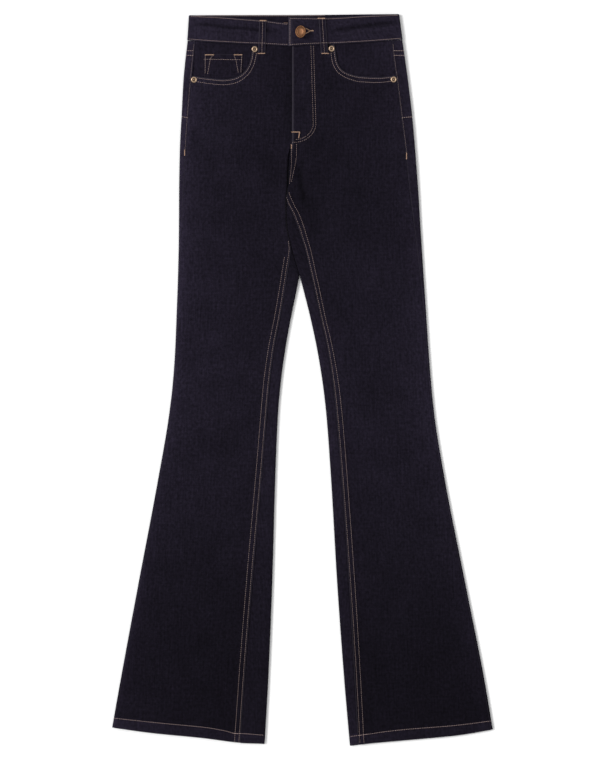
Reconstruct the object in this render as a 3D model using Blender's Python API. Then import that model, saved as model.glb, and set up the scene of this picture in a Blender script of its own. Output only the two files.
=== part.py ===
"""Flared five-pocket jeans lying flat, front side up.

Sizes below are in millimetres and become metres when a mesh is made.
X runs across (the wearer's right is -X), +Y runs from the hems to the waist, +Z is up.
A "drop" is a distance down the jeans from the highest point of the waist edge.
Each leg is a flattened tube: its back panel lies underneath, wraps round both folds
and meets the front panel on top, at the side seam and at the inseam.
"""
import bisect
import math

import bmesh
import bpy
import numpy as np
from mathutils import Matrix

MM = 0.001
LENGTH = 1097.0        # from the waist edge to the lowest hem corner
PLY = 1.0              # one layer of denim
BAND_PLY = 2.4         # waistband and turned hems, several layers sewn together
LOOP_PLY = 1.5         # folded belt loop
TAPE_PLY = 0.7         # zip tape
GAP = 0.3              # between neighbouring pieces
HEM_DEPTH = 15.0       # turned hem
HEM_STEP = 0.6         # length over which the hem's extra layers begin
HEM_EASE = 45.0        # stretch of leg that rises to the thicker hem
FOLD_EASE = 26.0       # width over which a leg sags from its fold to the middle
FORK = 392.0           # drop at which the legs part
CROTCH = 264.0         # drop at which the inseams meet the seat seam
ROLL_EASE = 9.0        # half the stretch over which the seat turns into inner folds
FOLD_REACH = 3.4       # least distance from a fold to the seam on top of it
SEAT_SPARE = 2.5       # end of the seat, which turns into the strip on top of the inner leg
SEAT_END = 0.5         # least width of that strip
TUCK = 12.0            # cloth that runs on under a neighbouring piece
FLY_EDGE = -15.8       # free edge of the fly
FLY_WIDTH = 38.0       # reach of the raised fly
FLY_END = 204.0        # drop at which the raised fly begins to die out
LAYER = PLY + GAP      # rise for one more layer underneath
BAND_LIFT = 1.8        # underside of the waistband, which rests on the back loops
BAND_FRONT = BAND_LIFT + 2 * BAND_PLY + GAP      # outside of the band over the front panels
BAND_OVER = BAND_FRONT + BAND_PLY + GAP          # outside of the end that laps over
BAND_INWARD = -1.0     # the inner side of the waistband's strip
SINK = 0.25            # spare room under a panel for the piece tucked beneath it
RISE = 0.15            # spare room under a piece that follows a bending surface

# Outer fold and side seam of both legs. The seam rolls towards the front at the hip.
SIDES_COLUMNS = ("drop", "right_outer", "right_side", "left_side", "left_outer")
SIDES = (
    (38.0, -172.0, -160.3, 133.2, 149.5),
    (70.0, -175.8, -163.4, 136.4, 154.2),
    (100.0, -178.6, -166.3, 140.8, 158.3),
    (150.0, -181.2, -170.6, 147.0, 164.2),
    (200.0, -183.8, -174.0, 153.3, 168.7),
    (264.0, -185.0, -177.8, 160.2, 173.5),
    (330.0, -185.4, -181.6, 168.6, 177.6),
    (392.0, -186.7, -183.3, 175.8, 181.6),
    (450.0, -188.8, -185.4, 182.0, 185.5),
    (500.0, -190.8, -187.4, 185.4, 188.8),
    (550.0, -194.2, -190.8, 189.2, 192.6),
    (600.0, -200.0, -196.6, 194.2, 197.6),
    (700.0, -217.0, -213.6, 210.4, 213.8),
    (850.0, -245.3, -241.9, 240.0, 243.4),
    (1000.0, -273.1, -269.7, 269.7, 273.1),
    (1100.0, -290.8, -287.4, 286.4, 289.8),
)
# Above the fork: seat seam underneath, then the free edge of each front panel on top,
# which is the fly, the rise seam and, below the crotch, the inseam.
CENTRE_COLUMNS = ("drop", "seat", "right_front", "left_front")
CENTRE = (
    (38.0, 0.0, -8.0, -15.8),
    (110.0, -2.0, -8.0, -15.8),
    (186.0, -8.5, -8.0, -15.8),
    (202.0, -11.2, -17.4, -17.4),
    (224.0, -15.6, -19.1, -18.6),
    (252.0, -21.2, -21.9, -21.0),
    (264.0, -23.2, -27.0, -19.6),
    (280.0, -24.7, -28.2, -19.8),
    (300.0, -24.3, -27.8, -15.3),
    (320.0, -23.0, -26.5, -7.3),
    (340.0, -19.2, -22.8, -0.1),
    (360.0, -13.8, -19.9, 5.8),
    (392.0, -4.4, -22.8, 13.2),
)
# Below the fork: inseam on top and inner fold of each leg.
INNER_COLUMNS = ("drop", "right_front", "right_inner", "left_inner", "left_front")
INNER = (
    (392.0, -22.8, -4.4, -4.4, 13.2),
    (420.0, -27.4, -9.8, 2.9, 19.6),
    (450.0, -32.6, -16.1, 10.4, 26.0),
    (500.0, -42.3, -25.2, 21.2, 37.2),
    (550.0, -48.9, -32.1, 29.6, 45.0),
    (600.0, -53.3, -36.6, 35.5, 50.5),
    (700.0, -61.6, -40.8, 42.8, 58.8),
    (850.0, -74.9, -45.1, 51.6, 69.4),
    (1000.0, -86.9, -51.3, 62.5, 78.1),
    (1100.0, -93.5, -57.0, 71.2, 83.5),
)
# Heights: underside of the back, top of the folds, top of the front between the folds.
PROFILE_COLUMNS = ("drop", "lift", "fold", "front")
PROFILE = (
    (38.0, 1.8, 6.4, 6.2),
    (62.0, 1.8, 6.3, 6.1),
    (85.0, 1.3, 5.5, 5.3),
    (215.0, 1.3, 5.5, 5.2),
    (256.0, 1.3, 5.0, 4.4),
    (310.0, 0.0, 4.8, 3.0),
    (400.0, 0.0, 4.8, 2.4),
    (1000.0, 0.0, 4.8, 2.3),
    (1100.0, 0.0, 4.8, 2.3),
)
# Hem line of each leg, from its outer fold (0) to its inner fold (1).
HEM_COLUMNS = ("across", "right", "left")
HEM = (
    (0.0, 1069.8, 1072.6),
    (0.25, 1077.6, 1081.4),
    (0.6, 1085.6, 1088.6),
    (0.85, 1092.6, 1093.4),
    (1.0, 1094.2, LENGTH),
)
# Seams across the back panels, by place: side seam, outer fold, three across, seat seam.
BACK_SEAM_COLUMNS = ("place", "yoke", "contour")
BACK_SEAMS = (
    (0.0, 64.5, 157.8),
    (1.0, 64.5, 154.0),
    (2.0, 72.0, 152.0),
    (3.0, 84.0, 156.0),
    (4.0, 97.0, 163.0),
    (5.0, 108.0, 170.0),
)
# Waistband, from its hidden end round the back to the end that laps over: x at its upper
# and lower edge, height of its outside, and the drops of both edges.
BAND_COLUMNS = ("face", "x_upper", "x_lower", "height", "upper", "lower")
BAND = (
    ("right", 22.0, 22.0, BAND_FRONT, 14.0, 45.4),
    ("right", -17.0, -17.0, BAND_FRONT, 13.8, 48.0),
    ("right", -56.0, -56.0, BAND_FRONT, 9.6, 46.2),
    ("right", -94.0, -94.0, BAND_FRONT, 6.4, 44.6),
    ("right", -134.0, -134.0, BAND_FRONT, 3.4, 42.4),
    ("right fold", -170.4, -172.8, BAND_LIFT, 1.8, 39.6),
    ("back", -134.0, -134.0, BAND_LIFT, 1.6, 41.0),
    ("back", 0.0, 0.0, BAND_LIFT, 1.4, 43.0),
    ("back", 100.0, 102.0, BAND_LIFT, 0.3, 41.0),
    ("left fold", 145.0, 150.0, BAND_FRONT, 0.0, 38.4),
    ("left", 95.0, 97.0, BAND_FRONT, 2.0, 42.4),
    ("left", 50.0, 50.5, BAND_FRONT, 5.0, 45.0),
    ("left", 25.0, 25.0, BAND_OVER, 5.8, 46.0),
    ("left", 8.0, 8.0, BAND_OVER, 5.5, 46.6),
    ("left", -21.0, -21.0, BAND_OVER, 5.2, 48.5),
)
# Free edge of the front pocket mouths, from the waistband to the side seam.
MOUTH_COLUMNS = ("right_x", "right_drop", "left_x", "left_drop")
MOUTH = (
    (-74.6, 46.0, 48.0, 45.6),
    (-76.0, 57.8, 49.8, 59.3),
    (-78.8, 71.5, 52.0, 71.5),
    (-87.0, 86.4, 58.0, 82.4),
    (-103.6, 96.2, 68.0, 88.7),
    (-119.3, 98.1, 88.0, 93.6),
    (-138.8, 96.4, 112.0, 94.7),
    (-165.4, 92.8, 139.6, 92.4),
)
WAIST_DROP = 41.0      # where the back panels meet the waistband, about
LAP_START = 25.0       # x from which the lapping end of the waistband comes down
LAP_EASE = 25.0
RAIL = 150.0           # drop below which a front panel's columns are evenly spread
HIP_SHARES = (0.0, 0.15, 0.28, 0.4, 0.65)        # rows between the front's top edge and RAIL
LEG_ROWS = (175.0, 193.0, 203.0, 224.0, 238.0, 252.0, 264.0, 280.0, 300.0, 320.0, 340.0, 360.0,
            380.0, 392.0, 406.0, 430.0, 465.0, 500.0, 550.0, 600.0, 680.0, 770.0, 870.0, 960.0)
HEM_ROWS = (HEM_DEPTH + HEM_EASE, HEM_DEPTH + 22.0, HEM_DEPTH + HEM_STEP, HEM_DEPTH, 0.0)
FRONT_COLUMNS = 12
FRONT_ACROSS = 0.8     # share of the leg's width at the hem that the front panel covers
EDGE_POINTS = 5        # points along the front's top edge, from the pocket mouth to the fly
ARC_STEPS = 4          # facets of a half-round fold

COIN_X = (-148.0, -90.0)          # sides of the coin pocket
COIN_UPPER = 60.0                 # its top edge
COIN_LOWER = 109.0                # its lower edge, behind the pocket mouth
COIN_TAPER = 1.5                  # how far each of its sides has come in there
BACK_POCKET_COLUMNS = ("half_width", "drop")
BACK_POCKET = ((66.0, 0.0), (65.0, 60.0), (58.0, 124.0), (0.0, 146.0))
BACK_POCKET_TOP = 104.0
BACK_POCKET_X = {"right": -96.0, "left": 74.0}
LOOP_WIDTH = 10.0
FRONT_LOOP_COLUMNS = ("name", "x_upper", "x_lower", "upper", "lower")
FRONT_LOOPS = (
    ("loop_front_right", -59.6, -61.0, 9.0, 60.5),
    ("loop_front_left", 29.4, 33.0, 5.6, 60.5),
)
BACK_LOOP_COLUMNS = ("name", "x")
BACK_LOOPS = (
    ("loop_back_right", -96.0),
    ("loop_back_centre", 0.0),
    ("loop_back_left", 92.0),
)
BACK_LOOP_ENDS = (3.5, 57.0)
ZIP_X = -4.8                      # middle of the zip tape
ZIP_WIDTH = 26.0
ZIP_ENDS = (52.0, 186.0)
SLIDER_X = -0.8
SLIDER_DROP = 56.0
SLIDER_PLY = 1.0
SLIDER_COLUMNS = ("drop", "width")
SLIDER = ((0.0, 8.0), (10.6, 8.0), (11.0, 4.0), (31.0, 4.0))
BUTTON_X = -2.9
BUTTON_DROP = 26.3
BUTTON_RADIUS = 9.2
BUTTON_TILT = math.radians(33.0)
BUTTON_PROFILE = ((0.0, 1.5), (5.6, 1.3), (6.8, 1.6), (7.8, 2.1), (8.7, 2.0), (BUTTON_RADIUS, 1.3),
                  (8.9, 0.5), (7.6, 0.1), (0.0, -0.1))
BUTTON_SIDES = 28
BUTTON_CLEAR = 0.5     # between the tilted button's low side and the cloth, over the gap
NECK_REACH = 0.6       # how far the neck goes into the button
NECK_RADIUS = 2.5
NECK_SIDES = 16
BUTTONHOLE_END = 16.0
BUTTONHOLE_WIDTH = 1.2
RIVET_PROFILE = ((0.0, 1.0), (0.9, 0.9), (1.3, 0.5), (1.8, 0.5), (2.4, 1.2), (3.2, 1.5),
                 (4.1, 1.2), (4.6, 0.4), (4.5, 0.0), (0.0, 0.0))
RIVET_SIDES = 20
RIVET_REACH = (-6.0, -3.0, 0.0, 3.0, 6.0)        # where the cloth under a rivet is felt
PANEL_START = 50.0                # drop below which the front panels are clear of the waistband
RIVET_COLUMNS = ("name", "x", "drop")
RIVETS = (
    ("rivet_right_inner", -71.7, 52.8),
    ("rivet_right_outer", -162.6, 98.6),
    ("rivet_left_inner", 43.6, 52.0),
    ("rivet_left_outer", 136.6, 98.2),
)

DENIM = (0.014, 0.0125, 0.020, 1.0)
COPPER = (0.42, 0.24, 0.13, 1.0)
BRASS = (0.60, 0.42, 0.25, 1.0)
TAPE = (0.012, 0.012, 0.016, 1.0)


def columns_of(rows, names):
    """A table's columns by name."""
    return dict(zip(names, zip(*rows)))


def rows_of(rows, names):
    """A table's rows, each with its values by name."""
    return [dict(zip(names, row)) for row in rows]


def slopes_of(keys, values):
    """Slopes that keep a curve through the rows from overshooting any of them."""
    steps = [b - a for a, b in zip(keys, keys[1:])]
    rates = [(b - a) / step for a, b, step in zip(values, values[1:], steps)]
    slopes = [rates[0]]
    for before, after, left, right in zip(rates, rates[1:], steps, steps[1:]):
        if before * after <= 0.0:
            slopes.append(0.0)
            continue
        near = 2.0 * right + left
        far = right + 2.0 * left
        slopes.append((near + far) / (near / before + far / after))
    slopes.append(rates[-1])
    return slopes


def curve(keys, values):
    """A smooth function through a table's rows, straight beyond its ends."""
    slopes = slopes_of(keys, values)

    def at(key):
        if key <= keys[0]:
            return values[0] + slopes[0] * (key - keys[0])
        if key >= keys[-1]:
            return values[-1] + slopes[-1] * (key - keys[-1])
        i = bisect.bisect_right(keys, key) - 1
        step = keys[i + 1] - keys[i]
        t = (key - keys[i]) / step
        rise = t * t * (3.0 - 2.0 * t)
        start = t * (1.0 - t) * (1.0 - t)
        end = -t * t * (1.0 - t)
        return (values[i] + rise * (values[i + 1] - values[i])
                + step * (start * slopes[i] + end * slopes[i + 1]))

    return at


def curves_of(rows, names):
    table = columns_of(rows, names)
    keys = table[names[0]]
    return {name: curve(keys, table[name]) for name in names[1:]}


def mix(a, b, share):
    return a + (b - a) * share


def ease(value, start, end):
    """0 before start, 1 after end, smooth between."""
    t = min(max((value - start) / (end - start), 0.0), 1.0)
    return t * t * (3.0 - 2.0 * t)


SIDE = curves_of(SIDES, SIDES_COLUMNS)
MIDDLE = curves_of(CENTRE, CENTRE_COLUMNS)
BELOW = curves_of(INNER, INNER_COLUMNS)
HEIGHT = curves_of(PROFILE, PROFILE_COLUMNS)
HEM_LINE = curves_of(HEM, HEM_COLUMNS)
WAY = {"right": 1.0, "left": -1.0}     # from a leg's outer fold towards the other leg
BACK_SEAM = curves_of(BACK_SEAMS, BACK_SEAM_COLUMNS)


def lines(leg, drop):
    """X of a leg's outer fold, side seam, front panel's inner edge and inner fold."""
    way = WAY[leg]
    outer = SIDE[leg + "_outer"](drop)
    side = SIDE[leg + "_side"](drop)
    if drop <= FORK:
        front = MIDDLE[leg + "_front"](drop)
        inner = MIDDLE["seat"](drop)
    else:
        front = BELOW[leg + "_front"](drop)
        inner = BELOW[leg + "_inner"](drop)
    side = outer + way * max(abs(side - outer), FOLD_REACH)
    return outer, side, front - way * GAP / 2, inner - way * GAP / 2


def across_of(leg, x, drop):
    outer, _, _, inner = lines(leg, drop)
    return min(max((x - outer) / (inner - outer), 0.0), 1.0)


def hem_distance(leg, x, drop):
    return HEM_LINE[leg](across_of(leg, x, drop)) - drop


def thickness(distance):
    """The cloth's thickness, which grows at the turned hem."""
    return PLY if distance > HEM_DEPTH + HEM_STEP / 2 else BAND_PLY


def levels(drop, distance):
    """Underside of the back, top of the folds and top of the front between them."""
    hem = 1.0 - ease(distance, HEM_DEPTH + HEM_STEP, HEM_DEPTH + HEM_EASE)
    thick = 2 * BAND_PLY + GAP
    return (HEIGHT["lift"](drop), mix(HEIGHT["fold"](drop), thick, hem),
            mix(HEIGHT["front"](drop), thick, hem))


def fly_rise(x, drop):
    """Extra height of the left front over the zip and the right front's underlap."""
    across = 1.0 - ease(x, FLY_EDGE + FLY_WIDTH * 0.7, FLY_EDGE + FLY_WIDTH * 1.3)
    return LAYER * across * (1.0 - ease(drop, FLY_END, FLY_END + 22.0))


def coin_rise(x, drop):
    """Extra height of the right front over the coin pocket's lower end."""
    left = ease(x, COIN_X[0] - 16.0, COIN_X[0] - 2.0)
    right = 1.0 - ease(x, COIN_X[1] + 2.0, COIN_X[1] + 16.0)
    return LAYER * left * right * (1.0 - ease(drop, COIN_LOWER + 2.0, COIN_LOWER + 22.0))


def front_top(leg, x, drop):
    """Height of the outside of the top layer, without the fly and the coin pocket."""
    outer, _, _, inner = lines(leg, drop)
    _, fold, front = levels(drop, hem_distance(leg, x, drop))
    from_outer = 1.0 - ease(abs(x - outer), 3.0, FOLD_EASE)
    from_inner = (1.0 - ease(abs(x - inner), 3.0, FOLD_EASE)) * rolled(drop)
    return mix(front, fold, max(from_outer, from_inner))


def panel_top(leg, x, drop):
    """Height of the outside of a front panel."""
    if leg == "left":
        return front_top(leg, x, drop) + fly_rise(x, drop)
    return front_top(leg, x, drop) + coin_rise(x, drop)


def rolled(drop):
    """0 where the seat is one sheet, 1 where each leg has its inner fold."""
    return ease(drop, CROTCH - ROLL_EASE, CROTCH + ROLL_EASE)


def arc(centre_x, low, high, start, turn, steps):
    """Points of a half-round fold between two heights, in X and Z."""
    radius = (high - low) / 2
    middle = (high + low) / 2
    angles = [start + turn * i / steps for i in range(steps + 1)]
    return [(centre_x + radius * math.cos(a), middle + radius * math.sin(a)) for a in angles]


def back_section(leg, drop, distance):
    """Outside of a back panel in one section, from the side seam round to the inseam."""
    way = WAY[leg]
    outer, side, _, _ = lines(leg, drop)
    lift, fold, _ = levels(drop, distance)
    radius = (fold - lift) / 2
    side -= way * GAP
    strip = [(side, front_top(leg, side, drop))]
    half_turn = math.pi * way
    outer_arc = arc(outer + way * radius, lift, fold, math.pi / 2, half_turn, ARC_STEPS)
    inside = inner_turn(leg, drop, lift, fold)
    start = outer_arc[-1][0]
    bottom = [(mix(start, inside[0][0], share), lift) for share in (0.25, 0.5, 0.75)]
    return strip + outer_arc + bottom + inside


def inner_turn(leg, drop, lift, fold):
    """Where a back panel ends: flat at the seat seam, and rolled up and over below it.

    The cloth turns through an angle that grows from nothing to a half turn, and the
    point farthest towards the other leg stays on the seat line all the way.
    """
    way = WAY[leg]
    _, _, front, inner = lines(leg, drop)
    roll = rolled(drop)
    radius = (fold - lift) / 2
    over = max((inner - front) * way - radius - GAP, SEAT_END)
    strip = mix(SEAT_SPARE, over, roll)
    angle = max(math.pi * roll, 1e-3)
    bend = math.pi * radius * (1.0 - 2.0 * roll * (1.0 - roll)) / angle
    turned = [(bend * math.sin(angle * i / ARC_STEPS), bend * (1.0 - math.cos(angle * i / ARC_STEPS)))
              for i in range(ARC_STEPS + 1)]
    end_x, end_z = turned[-1]
    turned += [(end_x + strip * share * math.cos(angle), end_z + strip * share * math.sin(angle))
               for share in (0.5, 1.0)]
    far = bend if angle >= math.pi / 2 else turned[-1][0]
    placed = [[inner - way * (far - x), lift + z] for x, z in turned]
    for point in placed[-2:]:
        point[1] = mix(point[1], front_top(leg, point[0], drop), roll ** 4)
    return placed


def back_places():
    """For each point of a back section: its place among the seams across the back."""
    places = [0.0] + [0.6 + 0.4 * min(i / (ARC_STEPS / 2), 1.0) for i in range(ARC_STEPS + 1)]
    places += [2.0, 3.0, 4.0]
    last = ARC_STEPS + 3
    return places + [4.6 + 0.4 * i / (last - 1) for i in range(last)]


def back_across():
    """For each point of a back section: how far across the leg its hem lies, 0 to 1."""
    arc_in = [1.0] * (ARC_STEPS + 1)
    return [0.0] * (ARC_STEPS + 2) + [0.25, 0.5, 0.75] + arc_in + [0.88, 0.77]


def unit(vectors):
    lengths = np.linalg.norm(vectors, axis=-1, keepdims=True)
    return vectors / np.maximum(lengths, 1e-9)


def tangents(points, axis):
    """Unit directions along one way of a grid, each halfway between its two neighbours."""
    steps = unit(np.diff(points, axis=axis))
    first = np.take(steps, [0], axis=axis)
    last = np.take(steps, [-1], axis=axis)
    return unit(np.concatenate([first, steps], axis=axis) + np.concatenate([steps, last], axis=axis))


def to_metres(points):
    """From X, drop and height in millimetres to the jeans' own frame in metres."""
    placed = np.array(points, float)
    placed[..., 1] = LENGTH / 2 - placed[..., 1]
    return placed * MM


def finish_material(name, colour, roughness, metallic):
    material = bpy.data.materials.new(name)
    material.use_nodes = True
    shader = material.node_tree.nodes["Principled BSDF"]
    shader.inputs["Base Color"].default_value = colour
    shader.inputs["Roughness"].default_value = roughness
    shader.inputs["Metallic"].default_value = metallic
    return material


def add_object(name, mesh, colour, roughness=0.9, metallic=0.0):
    piece = bpy.data.objects.new(name, mesh)
    bpy.context.scene.collection.objects.link(piece)
    mesh.materials.append(finish_material(name + "_finish", colour, roughness, metallic))
    return piece


def outward(mesh):
    """Turns the faces of a closed mesh to point out."""
    shape = bmesh.new()
    shape.from_mesh(mesh)
    bmesh.ops.recalc_face_normals(shape, faces=shape.faces)
    if shape.calc_volume(signed=True) < 0:
        bmesh.ops.reverse_faces(shape, faces=shape.faces)
    shape.to_mesh(mesh)
    shape.free()


def wrapped(name, grid, plies, inward, colour=DENIM):
    """A wall of cloth that bends round a fold, from the grid of points on its outside.

    Its thickness grows along the grid's own normal, times inward, which is +1 or -1.
    """
    outside = np.array(grid, float)
    normal = unit(np.cross(tangents(outside, 1), tangents(outside, 0)))
    return wall(name, outside, normal * inward, plies, colour)


def layer(name, grid, plies, down=1.0, colour=DENIM):
    """A wall of cloth that lies on another, from its outside; down is -1 under the back."""
    outside = np.array(grid, float)
    return wall(name, outside, np.array((0.0, 0.0, -down)), plies, colour)


def wall(name, outside, direction, plies, colour):
    """A closed wall between a grid of points and its copy, moved by the plies' thickness."""
    depth = np.broadcast_to(np.array(plies, float), outside.shape[:2])[..., None]
    inside = outside + direction * depth
    rows, columns = outside.shape[:2]
    points = np.concatenate([outside.reshape(-1, 3), inside.reshape(-1, 3)])
    shift = rows * columns
    faces = []
    for r in range(rows - 1):
        for c in range(columns - 1):
            a = r * columns + c
            quad = (a, a + 1, a + columns + 1, a + columns)
            faces.append(quad)
            faces.append(tuple(v + shift for v in reversed(quad)))
    rim = [(0, c) for c in range(columns)]
    rim += [(r, columns - 1) for r in range(1, rows)]
    rim += [(rows - 1, c) for c in range(columns - 2, -1, -1)]
    rim += [(r, 0) for r in range(rows - 2, 0, -1)]
    ring = [r * columns + c for r, c in rim]
    for a, b in zip(ring, ring[1:] + ring[:1]):
        faces.append((b, a, a + shift, b + shift))
    mesh = bpy.data.meshes.new(name)
    mesh.from_pydata(to_metres(points).tolist(), [], faces)
    outward(mesh)
    return add_object(name, mesh, colour)


def smooth_path(points, count):
    """Evenly spaced points along a smooth curve through the given ones."""
    keys = [0.0]
    for a, b in zip(points, points[1:]):
        keys.append(keys[-1] + math.dist(a, b))
    axes = [curve(keys, values) for values in zip(*points)]
    return [tuple(axis(keys[-1] * i / (count - 1)) for axis in axes) for i in range(count)]


def along(points, share):
    """The point at a share of the length of a polyline."""
    lengths = [math.dist(a, b) for a, b in zip(points, points[1:])]
    left = share * sum(lengths)
    for a, b, length in zip(points, points[1:], lengths):
        if left <= length:
            return tuple(mix(p, q, left / length) for p, q in zip(a, b))
        left -= length
    return points[-1]


def band_edge(*faces):
    """The drop of the waistband's lower edge over X, along some of its faces."""
    rows = [row for row in rows_of(BAND, BAND_COLUMNS) if row["face"] in faces]
    rows.sort(key=lambda row: row["x_lower"])
    return curve([row["x_lower"] for row in rows], [row["lower"] for row in rows])


BAND_EDGE = {
    "right": band_edge("right fold", "right"),
    "left": band_edge("left", "left fold"),
    "back": band_edge("right fold", "back", "left fold"),
}


def mouth_path(leg, count):
    table = columns_of(MOUTH, MOUTH_COLUMNS)
    return smooth_path(list(zip(table[leg + "_x"], table[leg + "_drop"])), count)


def make_front(leg):
    """A full front leg panel, cut away at the pocket mouth."""
    mouth = mouth_path(leg, 25)[::-1]
    start_x = lines(leg, mouth[0][1])[1]
    mouth[0] = (start_x, mouth[0][1])
    fly_x = lines(leg, 60.0)[2]
    corner_x = mouth[-1][0]
    top = [p for p in mouth if p[1] > BAND_EDGE[leg](p[0]) + 2 * GAP]
    for i in range(EDGE_POINTS):
        x = mix(corner_x, fly_x, i / (EDGE_POINTS - 1))
        top.append((x, BAND_EDGE[leg](x) + GAP))
    grid = []
    plies = []
    for v in HIP_SHARES:
        row = []
        for c in range(FRONT_COLUMNS):
            share = c / (FRONT_COLUMNS - 1)
            x0, drop0 = along(top, share)
            _, side, front, _ = lines(leg, RAIL)
            x1 = mix(side, front, share)
            drop = mix(drop0, RAIL, v)
            x = mix(x0, x1, v)
            if c == 0:
                x = lines(leg, drop)[1]
            if c == FRONT_COLUMNS - 1:
                x = lines(leg, drop)[2]
            row.append((x, drop, panel_top(leg, x, drop)))
        grid.append(row)
        plies.append([PLY] * len(row))
    for place in [("drop", RAIL)] + leg_places():
        row = []
        row_plies = []
        for c in range(FRONT_COLUMNS):
            share = c / (FRONT_COLUMNS - 1)
            drop, distance = settle(leg, place, share * FRONT_ACROSS)
            _, side, front, _ = lines(leg, drop)
            x = mix(side, front, share)
            row.append((x, drop, panel_top(leg, x, drop)))
            row_plies.append(thickness(distance))
        grid.append(row)
        plies.append(row_plies)
    return layer("front_" + leg, grid, plies)


def leg_places():
    return [("drop", drop) for drop in LEG_ROWS] + [("hem", rest) for rest in HEM_ROWS]


def settle(leg, place, across):
    """The drop and the distance from the hem of one point of a row."""
    kind, value = place
    hem = HEM_LINE[leg](across)
    if kind == "hem":
        return hem - value, value
    return value, hem - value


def back_rows(leg, upper, lower, places):
    """Rows of a back piece: between two seam lines, then down the leg."""
    grid = []
    plies = []
    spots = back_places()
    acrosses = back_across()
    for v in (0.0, 0.5, 1.0):
        row = []
        for i, (spot, across) in enumerate(zip(spots, acrosses)):
            drop = mix(upper(spot, across), lower(spot, across), v)
            section = back_section(leg, drop, HEM_LINE[leg](across) - drop)
            row.append((section[i][0], drop, section[i][1]))
        grid.append(row)
        plies.append([PLY] * len(row))
    for place in places:
        row = []
        row_plies = []
        for i, across in enumerate(acrosses):
            drop, distance = settle(leg, place, across)
            section = back_section(leg, drop, distance)
            row.append((section[i][0], drop, section[i][1]))
            row_plies.append(thickness(distance))
        grid.append(row)
        plies.append(row_plies)
    return grid, plies


def make_back(leg):
    """Yoke, hip and leg of the back, one above another."""
    way = WAY[leg]

    def waist(spot, across):
        outer, side, _, inner = lines(leg, WAIST_DROP)
        if spot <= 1.0:
            return BAND_EDGE[leg](side if spot < 0.5 else outer) + GAP
        return BAND_EDGE["back"](mix(outer, inner, across)) + GAP

    def seam(name, shift):
        return lambda spot, across: BACK_SEAM[name](spot) + shift

    def level(drop):
        return lambda spot, across: drop

    half = GAP / 2
    pieces = (
        ("yoke_", waist, seam("yoke", -half), []),
        ("hip_", seam("yoke", half), seam("contour", -half), []),
        ("back_", seam("contour", half), level(LEG_ROWS[1]), leg_places()[2:]),
    )
    for name, upper, lower, places in pieces:
        grid, plies = back_rows(leg, upper, lower, places)
        wrapped(name + leg, grid, plies, way)


def make_waistband():
    """One closed strip of doubled denim, folded at both sides, its ends lapping."""
    radius = (BAND_FRONT - BAND_LIFT) / 2
    middle = (BAND_FRONT + BAND_LIFT) / 2
    turns = [math.pi * i / (ARC_STEPS * 2) for i in range(ARC_STEPS * 2 + 1)]
    grid = []
    for row in rows_of(BAND, BAND_COLUMNS):
        shifts = [(0.0, row["height"])]
        if row["face"] == "right fold":
            shifts = [(radius - radius * math.sin(turn), middle + radius * math.cos(turn))
                      for turn in turns]
        if row["face"] == "left fold":
            shifts = [(radius * math.sin(turn) - radius, middle - radius * math.cos(turn))
                      for turn in turns]
        for shift, z in shifts:
            upper = (row["x_upper"] + shift, row["upper"])
            lower = (row["x_lower"] + shift, row["lower"])
            grid.append([(mix(upper[0], lower[0], s), mix(upper[1], lower[1], s), z)
                         for s in (0.0, 0.5, 1.0)])
    return wrapped("waistband", grid, BAND_PLY, BAND_INWARD)


def make_facing(leg):
    """The denim behind a pocket mouth, tucked under the front panel's edge."""
    way = WAY[leg]
    mouth = mouth_path(leg, 13)[::-1]
    lower = []
    for i, (x, drop) in enumerate(mouth):
        before = mouth[max(i - 1, 0)]
        after = mouth[min(i + 1, len(mouth) - 1)]
        length = math.dist(before, after)
        lower.append((x + way * TUCK * abs(after[1] - before[1]) / length,
                      drop + TUCK * abs(after[0] - before[0]) / length))
    corner_x = mouth[-1][0] + way * TUCK
    lower[0] = (lines(leg, lower[0][1])[1], lower[0][1])
    lower[-1] = (corner_x, BAND_EDGE[leg](corner_x) + TUCK)
    grid = []
    last = len(mouth) - 1
    side_x = lines(leg, WAIST_DROP)[1]
    for v in (0.0, 0.18, 0.36, 0.52, 0.68, 0.84, 1.0):
        row = []
        for c in range(last + 1):
            x0 = mix(side_x, corner_x, c / last)
            drop0 = BAND_EDGE[leg](x0) + GAP
            x1, drop1 = lower[c]
            drop = mix(drop0, drop1, v)
            x = mix(x0, x1, v)
            if c == 0:
                x = lines(leg, drop)[1]
            row.append((x, drop, facing_top(leg, x, drop)))
        grid.append(row)
    return layer("facing_" + leg, grid, PLY)


def facing_top(leg, x, drop):
    """Height of a facing: one layer below the front, level with it at the side seam."""
    side = lines(leg, drop)[1]
    table = columns_of(MOUTH, MOUTH_COLUMNS)
    end_drop = table[leg + "_drop"][-1]
    free = 1.0 - ease(abs(x - side), 1.0, 12.0)
    above = 1.0 - ease(drop, end_drop - 30.0, end_drop - 14.0)
    return front_top(leg, x, drop) - (LAYER + SINK) * (1.0 - free * above)


def make_coin_pocket():
    """The small pocket on the right facing, its lower end behind the pocket mouth."""
    grid = []
    for v in (0.0, 0.25, 0.5, 0.75, 1.0):
        row = []
        for u in (0.0, 0.25, 0.5, 0.75, 1.0):
            drop = mix(COIN_UPPER, COIN_LOWER, v)
            x = mix(COIN_X[0] + COIN_TAPER * v, COIN_X[1] - COIN_TAPER * v, u)
            row.append((x, drop, facing_top("right", x, drop) + LAYER + RISE))
        grid.append(row)
    return layer("coin_pocket", grid, PLY)


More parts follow.
